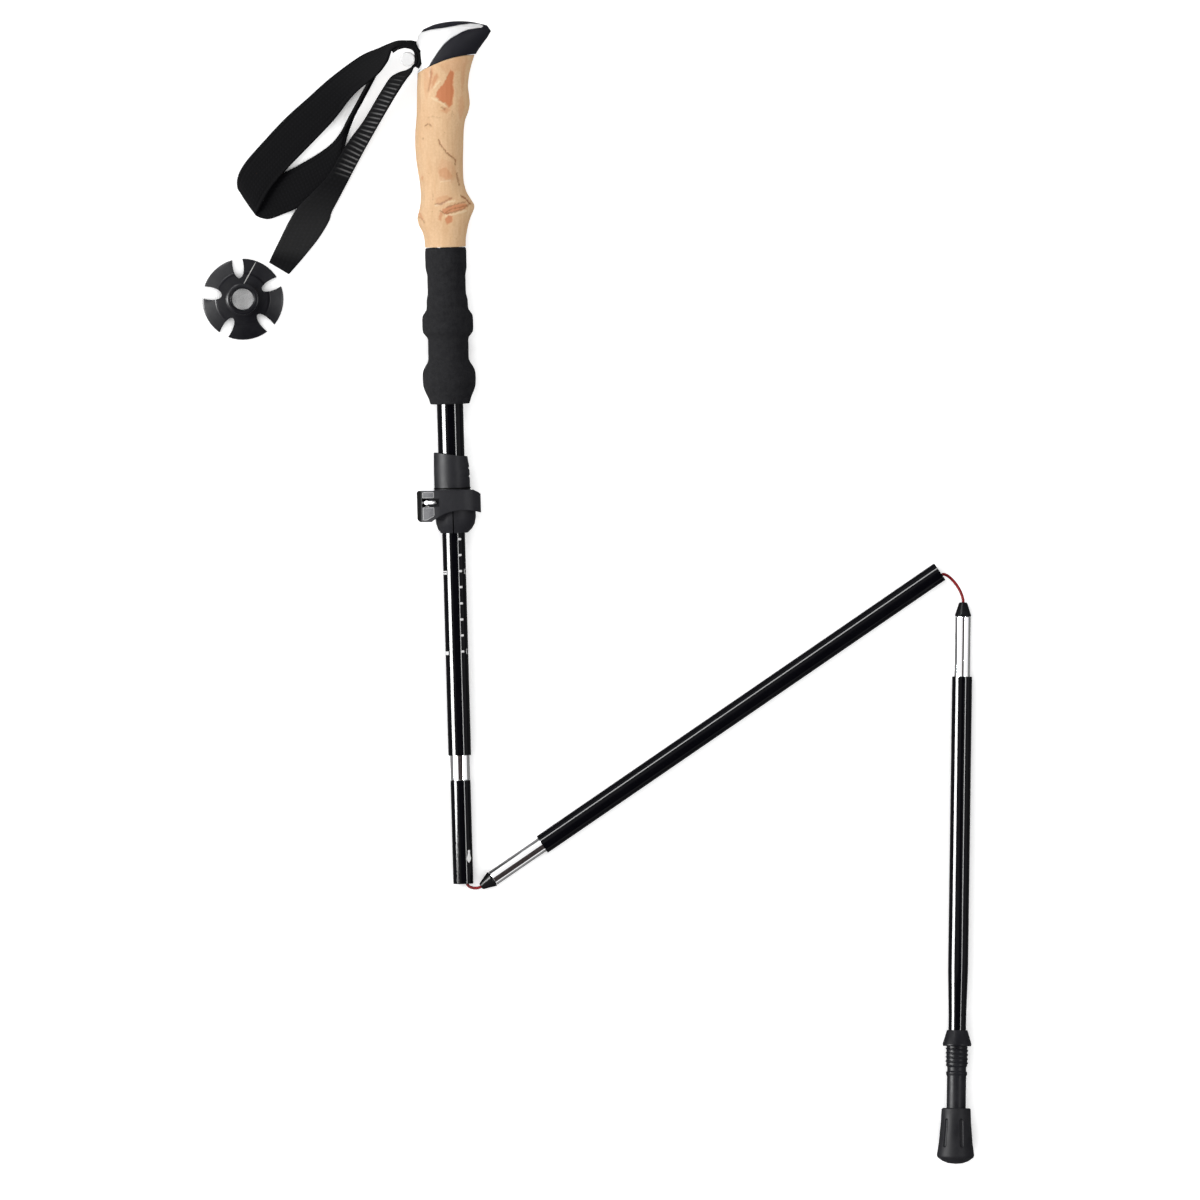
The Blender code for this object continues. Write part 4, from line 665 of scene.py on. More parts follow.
# The tail is one layer of black webbing, sewn shut at its cut end. Elastic ribs cross it where it
# leaves the pin.
RIB_START, RIB_END = 69.0, 146.0
RIB_PITCH = 3.2
RIB_RISE = 0.32
# Painted sheen on the tail's flat end: where it starts, where it ends and how pale it is.
SHEEN_START, SHEEN_END, SHEEN = 6.0, 62.0, 0.07
TAIL_HALF = 0.8
TAIL_SEAMS, TAIL_SEAM_DEPTH, TAIL_SEAM_HALF = (4.6, 5.6), 0.22, 0.3


def rib_wave(along, run_in, run_out):
    """The ribs' rise and fall, and how far they have grown there."""
    grown = min(1.0, (along - RIB_START) / run_in, (RIB_END - along) / run_out)
    return math.cos(math.tau * along / RIB_PITCH), grown


def tail_profile(across, width, along):
    inner = min(across, width - across)
    half = TAIL_HALF * rounded(inner + 0.2, 0.7)
    if RIB_START < along < RIB_END:
        rib, grown = rib_wave(along, 4.0, 4.0)
        half += RIB_RISE * grown * rib * rounded(inner - 0.4, 1.4)
    for seam in TAIL_SEAMS:
        half -= TAIL_SEAM_DEPTH * math.exp(-((along - seam) / TAIL_SEAM_HALF) ** 2)
    return half


def tail_shade(across, along):
    """Painted sheen makes the flat end a little paler, and painted highlights pale the ribs' crests towards the tail's
    outer edge.
    """
    if not RIB_START < along < RIB_END:
        return SHEEN * clamped(min((along - SHEEN_START) / 8.0, (SHEEN_END - along) / 30.0))
    rib, grown = rib_wave(along, 4.0, 14.0)
    side = clamped((across - 0.12) / 0.5) * clamped((0.97 - across) / 0.06)
    return 0.8 * grown * max(0.0, rib) ** 2 * side


tail_fabric = woven_material("tail_webbing", (0.0018, 0.0018, 0.0024), (0.007, 0.007, 0.009), 0.0009)
tail = add_bending_piece(
    "strap_tail", strap_mesh("strap_tail", WEBBING_STATIONS + bight(WEBBING_BIGHT) + WEBBING_SEWN, 24, 0.4,
                             tail_profile, tail_shade),
    tail_fabric, ("grip", "strap"), SWING_START, SWING_END, "webbing")
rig.replaces(tail, "strap_webbing")

# The cork grip is one turned and sanded block of natural cork, glued on the upper tube. Its knots,
# torn patches and cracks are the cork's own.
CORK_BOTTOM, CORK_TOP = 397.2, 505.8
SLEEVE_BORE = 8.55
RAY_START, RAY_REACH = 40.0, 0.035
FIRST_RADIUS, END_GAP = 15.0, 0.0005
EVENED_ROWS, END_ROWS = 3, 6
# Outlines and lines of the cork's marks, in pixels of the photograph, with each one's depth of colour
CORK_PATCHES = (
    (((450.8, 70.5), (454.6, 74), (453.2, 86), (454.8, 91.4), (452.6, 105), (449.6, 108.8),
      (446.2, 104.6), (441.2, 102.8), (436, 97.6), (437.6, 92), (443, 86.2), (447.2, 79)), 1),
    (((432.2, 67), (433.4, 74), (431.8, 84), (429.6, 93), (428.6, 90), (430.4, 80),
      (430.6, 71)), 0.55),
    (((437.2, 74), (438.8, 78), (434, 86.5), (431.6, 90), (432.6, 83), (435, 77)), 0.6),
    (((438, 172), (443, 169), (446.4, 168), (450, 172.6), (453.6, 176.8), (452, 179.8),
      (446, 180.2), (440.6, 176.6)), 0.5),
    (((422, 176), (423.6, 177), (423, 182), (421.2, 181)), 0.5),
    (((443, 210), (449.4, 207.4), (458, 204.8), (465.6, 204), (468, 207), (461, 210.6),
      (452, 212.8), (445.6, 215), (442.6, 213.4)), 0.75),
    (((440.2, 213), (443.2, 213.6), (441.6, 221), (438.8, 221)), 0.6),
    (((418.6, 214), (421, 213.6), (424, 219.6), (421.8, 221)), 0.5),
    (((445.5, 220), (449, 216), (452.6, 217), (452.4, 223), (447, 225)), 0.85),
    (((424, 72), (429, 68), (431, 76), (429, 92), (427, 101), (424.6, 92)), 0.22),
    (((438, 66), (448, 62), (466, 57), (470, 62), (462, 72), (446, 74)), 0.20),
    (((442, 160), (452, 162), (458, 176), (452, 184), (440, 182), (438, 170)), 0.18),
    (((436, 199), (446, 196), (452, 199), (444, 205), (437, 206)), 0.32),
    (((440, 112), (446, 108), (451, 111), (447, 114.6)), 0.45),
    (((463, 62), (466, 64), (464.6, 84), (462, 96), (461, 80)), 0.30),
    (((459, 100), (463, 96), (465, 108), (461, 122), (458.6, 112)), 0.28))
CORK_CRACKS = (
    (((425.4, 126.8), (427.6, 125), (429.6, 125.4), (431.8, 127.4)), 0.45, 0.9),
    (((428, 118.6), (433, 117.4), (440.4, 118.8)), 0.35, 0.35),
    (((439, 140.6), (440.4, 144.6), (443.6, 149), (446.8, 153.6), (451.8, 157.4), (455.4, 160.4),
      (455.8, 165.6)), 0.5, 1),
    (((457.4, 173.8), (458, 179), (459.6, 185.8)), 0.6, 0.7),
    (((461.2, 196.6), (465.6, 199), (470.6, 204.4)), 0.6, 1),
    (((436, 204.6), (441, 204.8), (447, 201.2), (452.6, 199)), 0.7, 0.7),
    (((440.6, 211.6), (446, 214.6), (454, 212.8), (463, 210.2), (468.6, 206)), 0.6, 0.8),
    (((433.2, 195), (433, 200.6)), 0.35, 0.5), (((423, 139), (423.4, 140)), 0.6, 0.6),
    (((452.6, 112), (452.8, 118)), 0.5, 0.3), (((442, 108.4), (445.4, 110.4)), 0.5, 0.7),
    (((430.6, 70), (432, 76), (430, 84), (428.6, 92)), 0.7, 0.4),
    (((447, 208.4), (456, 205), (466, 202.4)), 0.5, 0.7),
    (((444.6, 214.8), (452, 209.8), (460, 208.4), (467, 206), (470, 204)), 0.5, 0.75),
    (((418, 217), (421.4, 219), (424.6, 223)), 0.5, 0.5))
CORK_RIDGES = (((432, 99), (437, 101.4), (444, 105), (446.6, 108)),
               ((431, 68), (430, 78)), ((440, 82), (435, 88.6)),
               ((436, 206.4), (446, 203.4), (455, 201.6)), ((441, 182.2), (451, 181.6)),
               ((446, 216.6), (456, 214.8), (466, 211.6)))
PATCH_SPAN, CRACK_SPAN, RIDGE_SPAN = 45.0, 30.0, 16.0
PATCH_SINK, CRACK_SINK, RIDGE_RISE = 0.16, 0.35, 0.22
PATCH_EDGE, CRACK_SPREAD, RIDGE_HALF_WIDTH = 1.2, 1.25, 0.9
MARKED_SIDE = 0.15
# How ragged the marks' edges are, as the scale, seed and size of each noise.
RAGGED = ((0.55, 0.0, 0.9), (1.6, 4.0, 0.35))
# Without a seed, the noise takes one from the clock.
noise.seed_set(1)


def section(origin, up):
    """One section's frame, as the CAD lays it: +X right, -Y to the viewer and +Z up the pole."""
    up = Vector(up).normalized()
    right = Vector((up.y, -up.x, 0.0)).normalized()
    turn = Matrix((right, up.cross(right), up)).transposed().to_4x4()
    return Matrix.Translation(Vector(origin) * MM) @ turn


UPPER = section((-77.9, -181.7, 6.3), (-0.027732, 0.99908, 0.032722))
MIDDLE = section((-66.9, -183.5, 6.3), (-0.824423, -0.565975, 0.0))
LOWER = section((233.787, -6.307, 5.454), (0.014134, 0.999733, -0.018267))


def to_photo(point):
    """The pixel of the photograph that shows a point of the model, in metres."""
    return Vector((ORIGIN_PX[0] + point.x / PIXEL, ORIGIN_PX[1] - point.y / PIXEL))


def surface_of(node):
    """A CAD piece's surface, for rays."""
    mesh = nodes[node].data
    return BVHTree.FromPolygons([vertex.co.copy() for vertex in mesh.vertices],
                                [tuple(face.vertices) for face in mesh.polygons])


def on_ring(radius, angle, height):
    """A point in millimetres round an upright axis."""
    return Vector((radius * math.cos(angle), radius * math.sin(angle), height))


def ring_faces(first, second, count, inward=False):
    """The faces between two rings, each given by the number of its first point."""
    faces = []
    for k in range(count):
        after = (k + 1) % count
        a, b, c, d = first + k, first + after, second + after, second + k
        faces.append((a, d, c, b) if inward else (a, b, c, d))
    return faces


def lofted(name, rings, place=Matrix.Identity(4), capped=True, inward=False):
    """A skin over rings of points in millimetres. Inward says that the rings turn the other way."""
    count = len(rings[0])
    last = count * (len(rings) - 1)
    faces = [face for a in range(0, last, count) for face in ring_faces(a, a + count, count, inward)]
    if capped:
        caps = tuple(reversed(range(count))), tuple(range(last, last + count))
        faces += [cap[::-1] if inward else cap for cap in caps]
    return new_mesh(name, [point for ring in rings for point in ring], faces, place)


def rings_of(steps, sides, point):
    """Rings of points, each found from its ring's number and its angle round the ring."""
    return [[point(i, math.tau * k / sides) for k in range(sides)] for i in range(steps + 1)]


def sleeve_mesh(name, node, bottom, top, rows, columns, relief):
    """A finer copy of a sleeve on the upper tube, with its surface found by rays cast at the CAD."""
    tree = surface_of(node)
    turn = UPPER.to_3x3()
    angles = [math.tau * k / columns for k in range(columns)]
    radii = [[FIRST_RADIUS] * columns for _ in range(rows + 1)]
    heights = [[0.0] * columns for _ in range(rows + 1)]
    for i in range(rows + 1):
        for k, angle in enumerate(angles):
            way = on_ring(1.0, angle, 0.0)
            guess = radii[max(i - 1, 0)][k]
            share = END_GAP + (1.0 - 2 * END_GAP) * i / rows
            height = bottom + (top(guess * way.x) - bottom) * share
            start = UPPER @ ((way * RAY_START + Vector((0, 0, height))) * MM)
            hit = tree.ray_cast(start, turn @ -way, RAY_REACH)[0]
            if hit is not None:
                found = UPPER.inverted() @ hit / MM
                guess = math.hypot(found.x, found.y)
            radii[i][k], heights[i][k] = guess, height
    rings, marks = [], []
    for i in range(rows + 1):
        near = [radii[min(max(i + shift, 0), rows)] for shift in range(-EVENED_ROWS, EVENED_ROWS + 1)]
        ends = min(1.0, i / END_ROWS, (rows - i) / END_ROWS)
        ring = []
        for k, angle in enumerate(angles):
            mean = sum(row[k] for row in near) / len(near)
            radius = radii[i][k] + (mean - radii[i][k]) * ends
            shift, mark = relief(radius, angle, heights[i][k])
            ring.append(on_ring(radius + shift * ends, angle, heights[i][k]))
            marks.append(mark)
        rings.append(ring)
    bore_low, bore_high = [[on_ring(SLEEVE_BORE, angle, height) for angle, height in zip(angles, heights[i])]
                           for i in (0, rows)]
    unmarked = [(0.0, 0.0, 0.0)] * columns
    mesh = lofted(name, [bore_low, *rings, bore_high], UPPER, capped=False)
    return paint(mesh, "marks", unmarked + marks + unmarked)


def to_line(point, line):
    """How far a point is from a line of points."""
    best = 1e9
    for start, end in zip(line, line[1:]):
        a, b = Vector(start), Vector(end)
        run = b - a
        t = clamped((point - a).dot(run) / max(run.length_squared, 1e-9))
        best = min(best, (point - a - run * t).length)
    return best


def inside(point, outline):
    """How deep a point lies inside a closed outline. It is negative outside."""
    odd = False
    for (ax, ay), (bx, by) in zip(outline, outline[1:] + outline[:1]):
        if (ay > point.y) != (by > point.y) and point.x < (bx - ax) * (point.y - ay) / (by - ay) + ax:
            odd = not odd
    away = to_line(point, outline + outline[:1])
    return away if odd else -away


def cork_relief(radius, angle, height):
    """Sinks patches and cracks into the cork and raises the lips beside them."""
    patch = crack = ridge = 0.0
    if math.sin(angle) < MARKED_SIDE:
        spot = to_photo(UPPER @ (on_ring(radius, angle, height) * MM))
        shifts = [noise.noise_vector((spot.x * scale, spot.y * scale, seed)) * size
                  for scale, seed, size in RAGGED]
        spot += (shifts[0] + shifts[1]).to_2d()
        for outline, depth in CORK_PATCHES:
            if abs(outline[0][1] - spot.y) < PATCH_SPAN:
                patch = max(patch, depth * clamped(0.5 + inside(spot, outline) / PATCH_EDGE))
        for line, width, depth in CORK_CRACKS:
            if abs(line[0][1] - spot.y) < CRACK_SPAN:
                crack = max(crack, depth * math.exp(-(to_line(spot, line) / (CRACK_SPREAD * width)) ** 2))
        for line in CORK_RIDGES:
            if abs(line[0][1] - spot.y) < RIDGE_SPAN:
                ridge = max(ridge, math.exp(-(to_line(spot, line) / RIDGE_HALF_WIDTH) ** 2))
    return RIDGE_RISE * ridge - PATCH_SINK * patch - CRACK_SINK * crack, (patch, crack, ridge)


def cork_rim(x):
    """The slanted, bowed seam between cork and head."""
    return CORK_TOP + 6.9 + 0.348 * x - 0.008 * x * x


def cell_texture(tree, place, scale):
    return add_node(tree, "ShaderNodeTexVoronoi", {"Vector": place, "Scale": scale}).outputs["Distance"]


def stretched(tree, scale):
    """A texture's place, drawn out along the pole or across it."""
    return add_node(tree, "ShaderNodeMapping", {"Vector": position(tree), "Scale": scale}).outputs["Vector"]


def cork_material():
    """Sanded natural cork: pale tan with long soft streaks, small grains and dark pores."""
    material, tree, shader = blank_material("cork", (0.84, 0.56, 0.31), 0.8, specular=0.12)
    place = position(tree)
    streaks = noise_texture(tree, stretched(tree, (330.0, 60.0, 330.0)), 1.0, 5.0, 0.62)
    grains = spread(tree, cell_texture(tree, place, 700.0), 0.0, 0.22, 0.25, 0.75)
    pores = spread(tree, cell_texture(tree, place, 240.0), 0.55, 0.0, 0.02, 0.09)
    marks = add_node(tree, "ShaderNodeSeparateColor", {"Color": point_colour(tree, "marks")})
    patch, crack, ridge = marks.outputs
    colour = (0.80, 0.50, 0.27)
    for share, over in ((spread(tree, streaks, 0.0, 1.0, 0.3, 0.7), (0.89, 0.61, 0.36)),
                        (grains, (0.66, 0.38, 0.19)), (pores, (0.34, 0.16, 0.07)),
                        (ridge, (0.93, 0.70, 0.45)), (patch, (0.66, 0.235, 0.10)),
                        (crack, (0.36, 0.13, 0.05))):
        colour = mix(tree, share, colour, over)
    connect(tree, shader, {"Base Color": colour})
    bump(tree, shader, maths(tree, "ADD", noise_texture(tree, place, 2200.0, 4.0, 0.7), streaks), 0.00008)
    return material


cork = add_piece("cork_sleeve", sleeve_mesh("cork_sleeve", "cork_grip", CORK_BOTTOM, cork_rim, 230, 220,
                                            cork_relief), cork_material(), "grip", "cork")
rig.replaces(cork, "cork_grip")

# The foam extension is a ground sleeve of black closed-cell foam under the cork, with two swells for
# the hand. It is glued to the same tube.
FOAM_BOTTOM, FOAM_TOP = 299.4, CORK_BOTTOM - 0.3


def foam_relief(radius, angle, height):
    """Ground foam is never quite true: broad, shallow waves run over it."""
    wave = math.sin(3.0 * angle + 0.11 * height) * 0.05 + math.sin(7.0 * angle - 0.31 * height) * 0.03
    return wave, (0.0, 0.0, 0.0)


def foam_material():
    """Closed-cell foam: matt near-black with cut cells all over its face."""
    material, tree, shader = blank_material("foam", (0.012, 0.012, 0.014), 0.95, specular=0.08)
    place = position(tree)
    cells = cell_texture(tree, place, 1700.0)
    broad = spread(tree, noise_texture(tree, place, 260.0, 5.0, 0.7), 0.0, 1.0)
    ground = mix(tree, broad, (0.010, 0.010, 0.012), (0.018, 0.018, 0.020))
    connect(tree, shader, {"Base Color": mix(tree, spread(tree, cells, 0.8, 0.0, 0.0, 0.3), ground,
                                             (0.005, 0.005, 0.006))})
    bump(tree, shader, cells, 0.00018)
    return material


foam = add_piece("foam_sleeve", sleeve_mesh("foam_sleeve", "foam_grip", FOAM_BOTTOM, lambda x: FOAM_TOP, 190,
                                            144, foam_relief), foam_material(), "grip", "foam")
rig.replaces(foam, "foam_grip")
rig.padded(foam, 1.0)

# The upper tube is drawn aluminium in gloss black lacquer. Grip and foam are glued on its upper end,
# and the lock sits on its lower end.
lacquer = grained_material("gloss_black_lacquer", (0.0022, 0.0022, 0.0036), (0.0034, 0.0034, 0.0050),
                           (0.035, 0.05), 0.0000012, specular=0.09, scale=700.0)
moulded("lacquered_upper_tube", "upper_tube", "grip", lacquer, 0.12, "gloss_black_lacquer")

# The flip lock is moulded in black glass-filled plastic: a split collar and a lever round its front.
# A steel eye bolt on the lever's pin runs across to a nut and pulls the collar shut.
lock_black = grained_material("lock_plastic", (0.018, 0.018, 0.022), (0.026, 0.026, 0.030), (0.42, 0.52),
                              0.00004, specular=0.07, scale=2400.0)
bright_steel = grained_material("steel_bolt", (0.90, 0.90, 0.90), (0.80, 0.80, 0.81), (0.58, 0.68),
                                0.000008, metallic=1.0, scale=3000.0)
# Near-black steel for the lever's pin. It also serves as painted shade for the collar's ring and the strip in the
# lever's window.
blackened_and_shade = grained_material("dark_steel_and_painted_shade", (0.006, 0.006, 0.006), (0.010, 0.010, 0.010), (0.7, 0.8),
                             0.00001, specular=0.0)
LEVER_PIN = Vector((-18.7, -9.9, 238.5))
BOLT_FRONT = Vector((2.8, -2.35, 0.0))
LEVER_LEFT, LEVER_BOTTOM, LEVER_TOP = -22.5, 226.3, 246.2
TOP_CORNER, BOTTOM_CORNER = 2.4, 3.6
BLANK_RIGHT, BLANK_DEPTH = 30.0, (-30.0, 20.0)
# Painted shade: the lever is painted near black to the left of these X places, in metres, on its hinge side.
HINGE_PAINTED_SHADE = (-0.1046, -0.1036)
dress(steel, "lock_nut")
dress(blackened_and_shade, "lever_pin")


def corner_points(x, z, radius, start, steps):
    """A quarter circle in the section's own plane of X and Z."""
    angles = [math.radians(start + 90.0 / steps * k) for k in range(steps + 1)]
    return [(x + radius * math.cos(angle), z + radius * math.sin(angle)) for angle in angles]


def lever_blank():
    """The lever's outline seen from the front, with two round corners at the hinge."""
    outline = corner_points(LEVER_LEFT + TOP_CORNER, LEVER_TOP - TOP_CORNER, TOP_CORNER, 90.0, 6)
    outline += corner_points(LEVER_LEFT + BOTTOM_CORNER, LEVER_BOTTOM + BOTTOM_CORNER, BOTTOM_CORNER,
                             180.0, 6)
    outline += [(BLANK_RIGHT, LEVER_BOTTOM), (BLANK_RIGHT, LEVER_TOP)]
    return new_object("lever_blank", lofted(
        "lever_blank", [[(x, y, z) for x, z in outline] for y in BLANK_DEPTH], UPPER, inward=True))


def lever_material():
    """The lock's plastic, darkened by painted shade to a dull deep black along the hinge side, which faces the key
    lamp.
    """
    material = lock_black.copy()
    material.name = "lever_plastic"
    tree = material.node_tree
    shader = tree.nodes["Principled BSDF"]
    across = add_node(tree, "ShaderNodeSeparateXYZ", {0: position(tree)}).outputs["X"]
    away = spread(tree, across, 0.0, 1.0, *HINGE_PAINTED_SHADE)
    colour = shader.inputs["Base Color"].links[0].from_socket
    connect(tree, shader, {"Base Color": mix(tree, away, (0.001, 0.001, 0.001), colour),
                           "Roughness": spread(tree, away, 0.95, 0.47, 0.0, 1.0)})
    return material


blank = lever_blank()
moulded("flip_lever", "lock_lever", "lever", lever_material(), 0.5, "lock_plastic",
        [("BOOLEAN", {"operation": "INTERSECT", "solver": "EXACT", "object": blank})])
bpy.data.objects.remove(blank)
moulded("lock_collar", "lock_body", "grip", lock_black, 0.35, "lock_plastic")


def bolt_mesh(name):
    """The eye bolt: a rounded eye round the lever's pin and a round shank from it to the nut, each
    drawn as a flattened ball and a rod."""
    shape = bmesh.new()
    eye = UPPER @ Matrix.Translation(LEVER_PIN * MM)
    front = eye @ Matrix.Translation(BOLT_FRONT * MM)
    across = Matrix.Rotation(math.radians(90.0), 4, "Y")
    for place, radius, scale in ((eye, 1.7, (1.0, 1.0, 0.72, 1.0)), (front, 1.6, (1.12, 0.8, 0.97, 1.0))):
        bmesh.ops.create_uvsphere(shape, u_segments=36, v_segments=20, radius=radius * MM,
                                  matrix=place @ Matrix.Diagonal(scale))
    for place, radius, length, middle in ((front, 1.05, 5.6, 2.9), (eye, 1.15, 28.4, 14.2)):
        bmesh.ops.create_cone(shape, cap_ends=True, segments=28, radius1=radius * MM, radius2=radius * MM,
                              depth=length * MM,
                              matrix=place @ Matrix.Translation((middle * MM, 0.0, 0.0)) @ across)
    return finished(name, shape)


bolt = add_piece("eye_bolt", bolt_mesh("eye_bolt"), bright_steel, "grip", "steel")
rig.replaces(bolt, "lock_bolt")

# A thin black ring lies in the corner between the collar's sleeve and its shoulder. It is painted
# shade: a near-black ring that stands for the dark gap there.
SHADE_RING_RADIUS, SHADE_RING_HALF, SHADE_RING_HEIGHT = 11.15, 0.42, 246.9
SHADE_RING_STEPS, SHADE_RING_SIDES = 96, 12


def gap_shade_mesh(name):
    rings = rings_of(SHADE_RING_STEPS - 1, SHADE_RING_SIDES, lambda i, turn: on_ring(
        SHADE_RING_RADIUS + SHADE_RING_HALF * math.cos(turn), math.tau * i / SHADE_RING_STEPS,
        SHADE_RING_HEIGHT + SHADE_RING_HALF * math.sin(turn)))
    faces = [face for i in range(SHADE_RING_STEPS) for face in ring_faces(
        i * SHADE_RING_SIDES, (i + 1) % SHADE_RING_STEPS * SHADE_RING_SIDES, SHADE_RING_SIDES, inward=True)]
    return new_mesh(name, [point for ring in rings for point in ring], faces, UPPER)


# Painted shade: the ring is near black where the gap between sleeve and shoulder lies in shade.
add_piece("collar_gap_shade", gap_shade_mesh("collar_gap_shade"), blackened_and_shade, "grip", "lock_plastic")

# A near-black strip stands behind the bolt, in the lever's window between the plate's leaves. It is
# painted shade, for the dark window round the bolt.
STRIP_LOW, STRIP_HIGH = LEVER_PIN + Vector((0.9, 1.5, -2.5)), LEVER_PIN + Vector((3.8, 2.2, 2.5))


def strip_mesh(name):
    (left, front, bottom), (right, back, top) = STRIP_LOW, STRIP_HIGH
    rings = [[(left, front, z), (right, front, z), (right, back, z), (left, back, z)] for z in (bottom, top)]
    return reshaped(name, lofted(name, rings, UPPER), [
        ("BEVEL", {"width": 0.15 * MM, "segments": 2}), ("WEIGHTED_NORMAL", {"keep_sharp": True})])


# Painted shade: the strip is near black so that the window behind the bolt reads dark.
add_piece("window_shade_strip", strip_mesh("window_shade_strip"), blackened_and_shade, "grip", "steel")

# A thin brushed plate covers the lever's hinged end, above and below the bolt's window. It is pressed
# from stainless strip and snapped on.
PLATE_PROUD, PLATE_SUNK = 0.22, 0.25
PLATE_CORNER = 0.6
PLATE_RIM = 0.5
# The lever's front face, as points across and towards the viewer, and the two leaves' outlines.
PLATE_LINE = ((-18.6, -13.72), (-17.3, -14.25), (-15.6, -14.95), (-14, -15.6), (-12.6, -15.83),
              (-11.5, -16.02))
PLATE_SHAPES = (((-18.6, 235.6), (-18.6, 227.6), (-16.3, 227.6), (-11.5, 230.2), (-11.5, 235.6)),
                ((-18.6, 245.2), (-18.6, 241.5), (-11.5, 241.5), (-11.5, 245.2)))


def cut_across(flat, columns):
    """Cuts flat faces into strips, so that they can bend."""
    for x in columns:
        bmesh.ops.bisect_plane(flat, geom=flat.verts[:] + flat.edges[:] + flat.faces[:],
                               plane_co=(x, 0, 0), plane_no=(1, 0, 0))


def add_outline(flat, points):
    flat.faces.new([flat.verts.new((x, 0.0, z)) for x, z in points])


def film_mesh(name, flat, bend, proud, sunk):
    """Flat faces, bent into place on the upper section and thickened to both sides."""
    front = flat.verts[:]
    made = bmesh.ops.extrude_face_region(flat, geom=flat.faces[:])
    back = [item for item in made["geom"] if isinstance(item, bmesh.types.BMVert)]
    for group, out in ((front, proud), (back, -sunk)):
        for vertex in group:
            vertex.co = UPPER @ (bend(vertex.co, out) * MM)
    bmesh.ops.recalc_face_normals(flat, faces=flat.faces[:])
    return finished(name, flat)


def on_lever(spot, out):
    """A point of the flat plate, laid on the lever's front face."""
    for (ax, ay), (bx, by) in zip(PLATE_LINE, PLATE_LINE[1:]):
        if spot.x <= bx + 1e-4:
            break
    t = (spot.x - ax) / (bx - ax)
    outward = Vector((by - ay, ax - bx)).normalized()
    return Vector((spot.x + outward.x * out, ay + (by - ay) * t + outward.y * out, spot.z))


def plate_mesh(name):
    """Two leaves with round corners and a rim painted pale as a highlight, bent along the lever's front face."""
    flat = bmesh.new()
    for shape in PLATE_SHAPES:
        add_outline(flat, shape)
    bmesh.ops.bevel(flat, geom=flat.verts[:], offset=PLATE_CORNER, segments=4, profile=0.5,
                    affect="VERTICES")
    bmesh.ops.inset_region(flat, faces=flat.faces[:], thickness=PLATE_RIM, use_boundary=True)
    cut_across(flat, [x for x, y in PLATE_LINE[1:-1]])
    # Painted highlight: the rim's points are painted pale.
    wear_and_sheen = flat.verts.layers.float_color.new("wear_and_sheen")
    for vertex in flat.verts:
        pale = float(vertex.is_boundary)
        vertex[wear_and_sheen] = (pale, pale, pale, 1.0)
    return film_mesh(name, flat, on_lever, PLATE_PROUD, PLATE_SUNK)


def brushed_material(name, colour, lit, rim):
    """A brushed, matt plate: long fine scratches across it, of a paler grey, and a polished rim whose highlight is
    painted pale.
    """
    material, tree, shader = blank_material(name, colour, 0.6, specular=0.12)
    lines = noise_texture(tree, stretched(tree, (150.0, 5000.0, 5000.0)), 1.0, 3.0)
    brushed = mix(tree, spread(tree, lines, 0.0, 1.0), colour, lit)
    connect(tree, shader, {"Base Color": mix(tree, point_colour(tree, "wear_and_sheen"), brushed, rim)})
    bump(tree, shader, lines, 0.00001)
    return material


add_piece("lever_plate", plate_mesh("lever_plate"), brushed_material(
    "brushed_plate", (0.09, 0.09, 0.10), (0.21, 0.21, 0.22), (0.70, 0.70, 0.70)), "lever", "steel")

# The scale tube is black like the upper tube, and slides in it. Its scale is printed on it in white:
# a tick each centimetre, plain numbers at every fifth, and a double bar beside them.
SCALE_RADIUS, SOCKET_RADIUS = 7.1, 6.25
SCALE_UNIT = PIXEL / MM
AXIS_COLUMN, AXIS_ROW, AXIS_SLANT = 450.1, 410.0, 0.0278
MOUTH_ROW = 883.5
PRINT_PROUD, PRINT_SUNK = 0.03, 0.06
PRINT_STRIP, FIRST_CUT = 0.5, 0.013
TICK_ROWS = (538.7, 554.6, 570.6, 586.6, 602.9, 619.0, 634.9, 651.0)
TICK_SIZE, TICK_CORNER, BAR_CORNER = (2.2, 1.35), 0.35, 0.2
TICK_COLUMN, NUMBER_COLUMN = 5.95, 8.6
NUMBER_HEIGHT, NUMBER_DROP = 3.3, 1.7
DIGIT_SHARE, DIGIT_SPACING = 0.7, 1.05
NUMBERS = ((571.1, "125"), (650.9, "120"))
# The bars beside the numbers: left, right, high and low, and whether it is a double one.
SCALE_BARS = ((442.0, 446.9, 570.2, 573.8, True), (444.9, 448.7, 650.7, 654.2, False))
THIN_BAR, BAR_INSET = 0.85, 0.45
print_white = grained_material("print_white", (0.95, 0.95, 0.95), (0.90, 0.90, 0.90), (0.45, 0.55),
                               0.000005, specular=0.2)
moulded("lacquered_scale_tube", "scale_tube", "scale", lacquer, 0.12, "gloss_black_lacquer")


def axis_column(row):
    """The column of the photograph in which the upper section's axis crosses a row."""
    return AXIS_COLUMN + (row - AXIS_ROW) * AXIS_SLANT


def round_tube(column, row, radius):
    """How far round a tube a pixel's point lies from the side that faces the viewer."""
    across = (column - axis_column(row)) * SCALE_UNIT
    return radius * math.asin(max(-1.0, min(1.0, across / radius)))


def up_tube(row):
    return (MOUTH_ROW - row) * SCALE_UNIT


def add_bar(flat, x, z, width, height, corner):
    """A bar with round corners, flat in the print's own plane."""
    outline = []
    for start, right, up in ((0.0, 1, 1), (90.0, -1, 1), (180.0, -1, -1), (270.0, 1, -1)):
        outline += corner_points(x + right * (width / 2 - corner), z + up * (height / 2 - corner), corner,
                                 start, 3)
    add_outline(flat, outline)


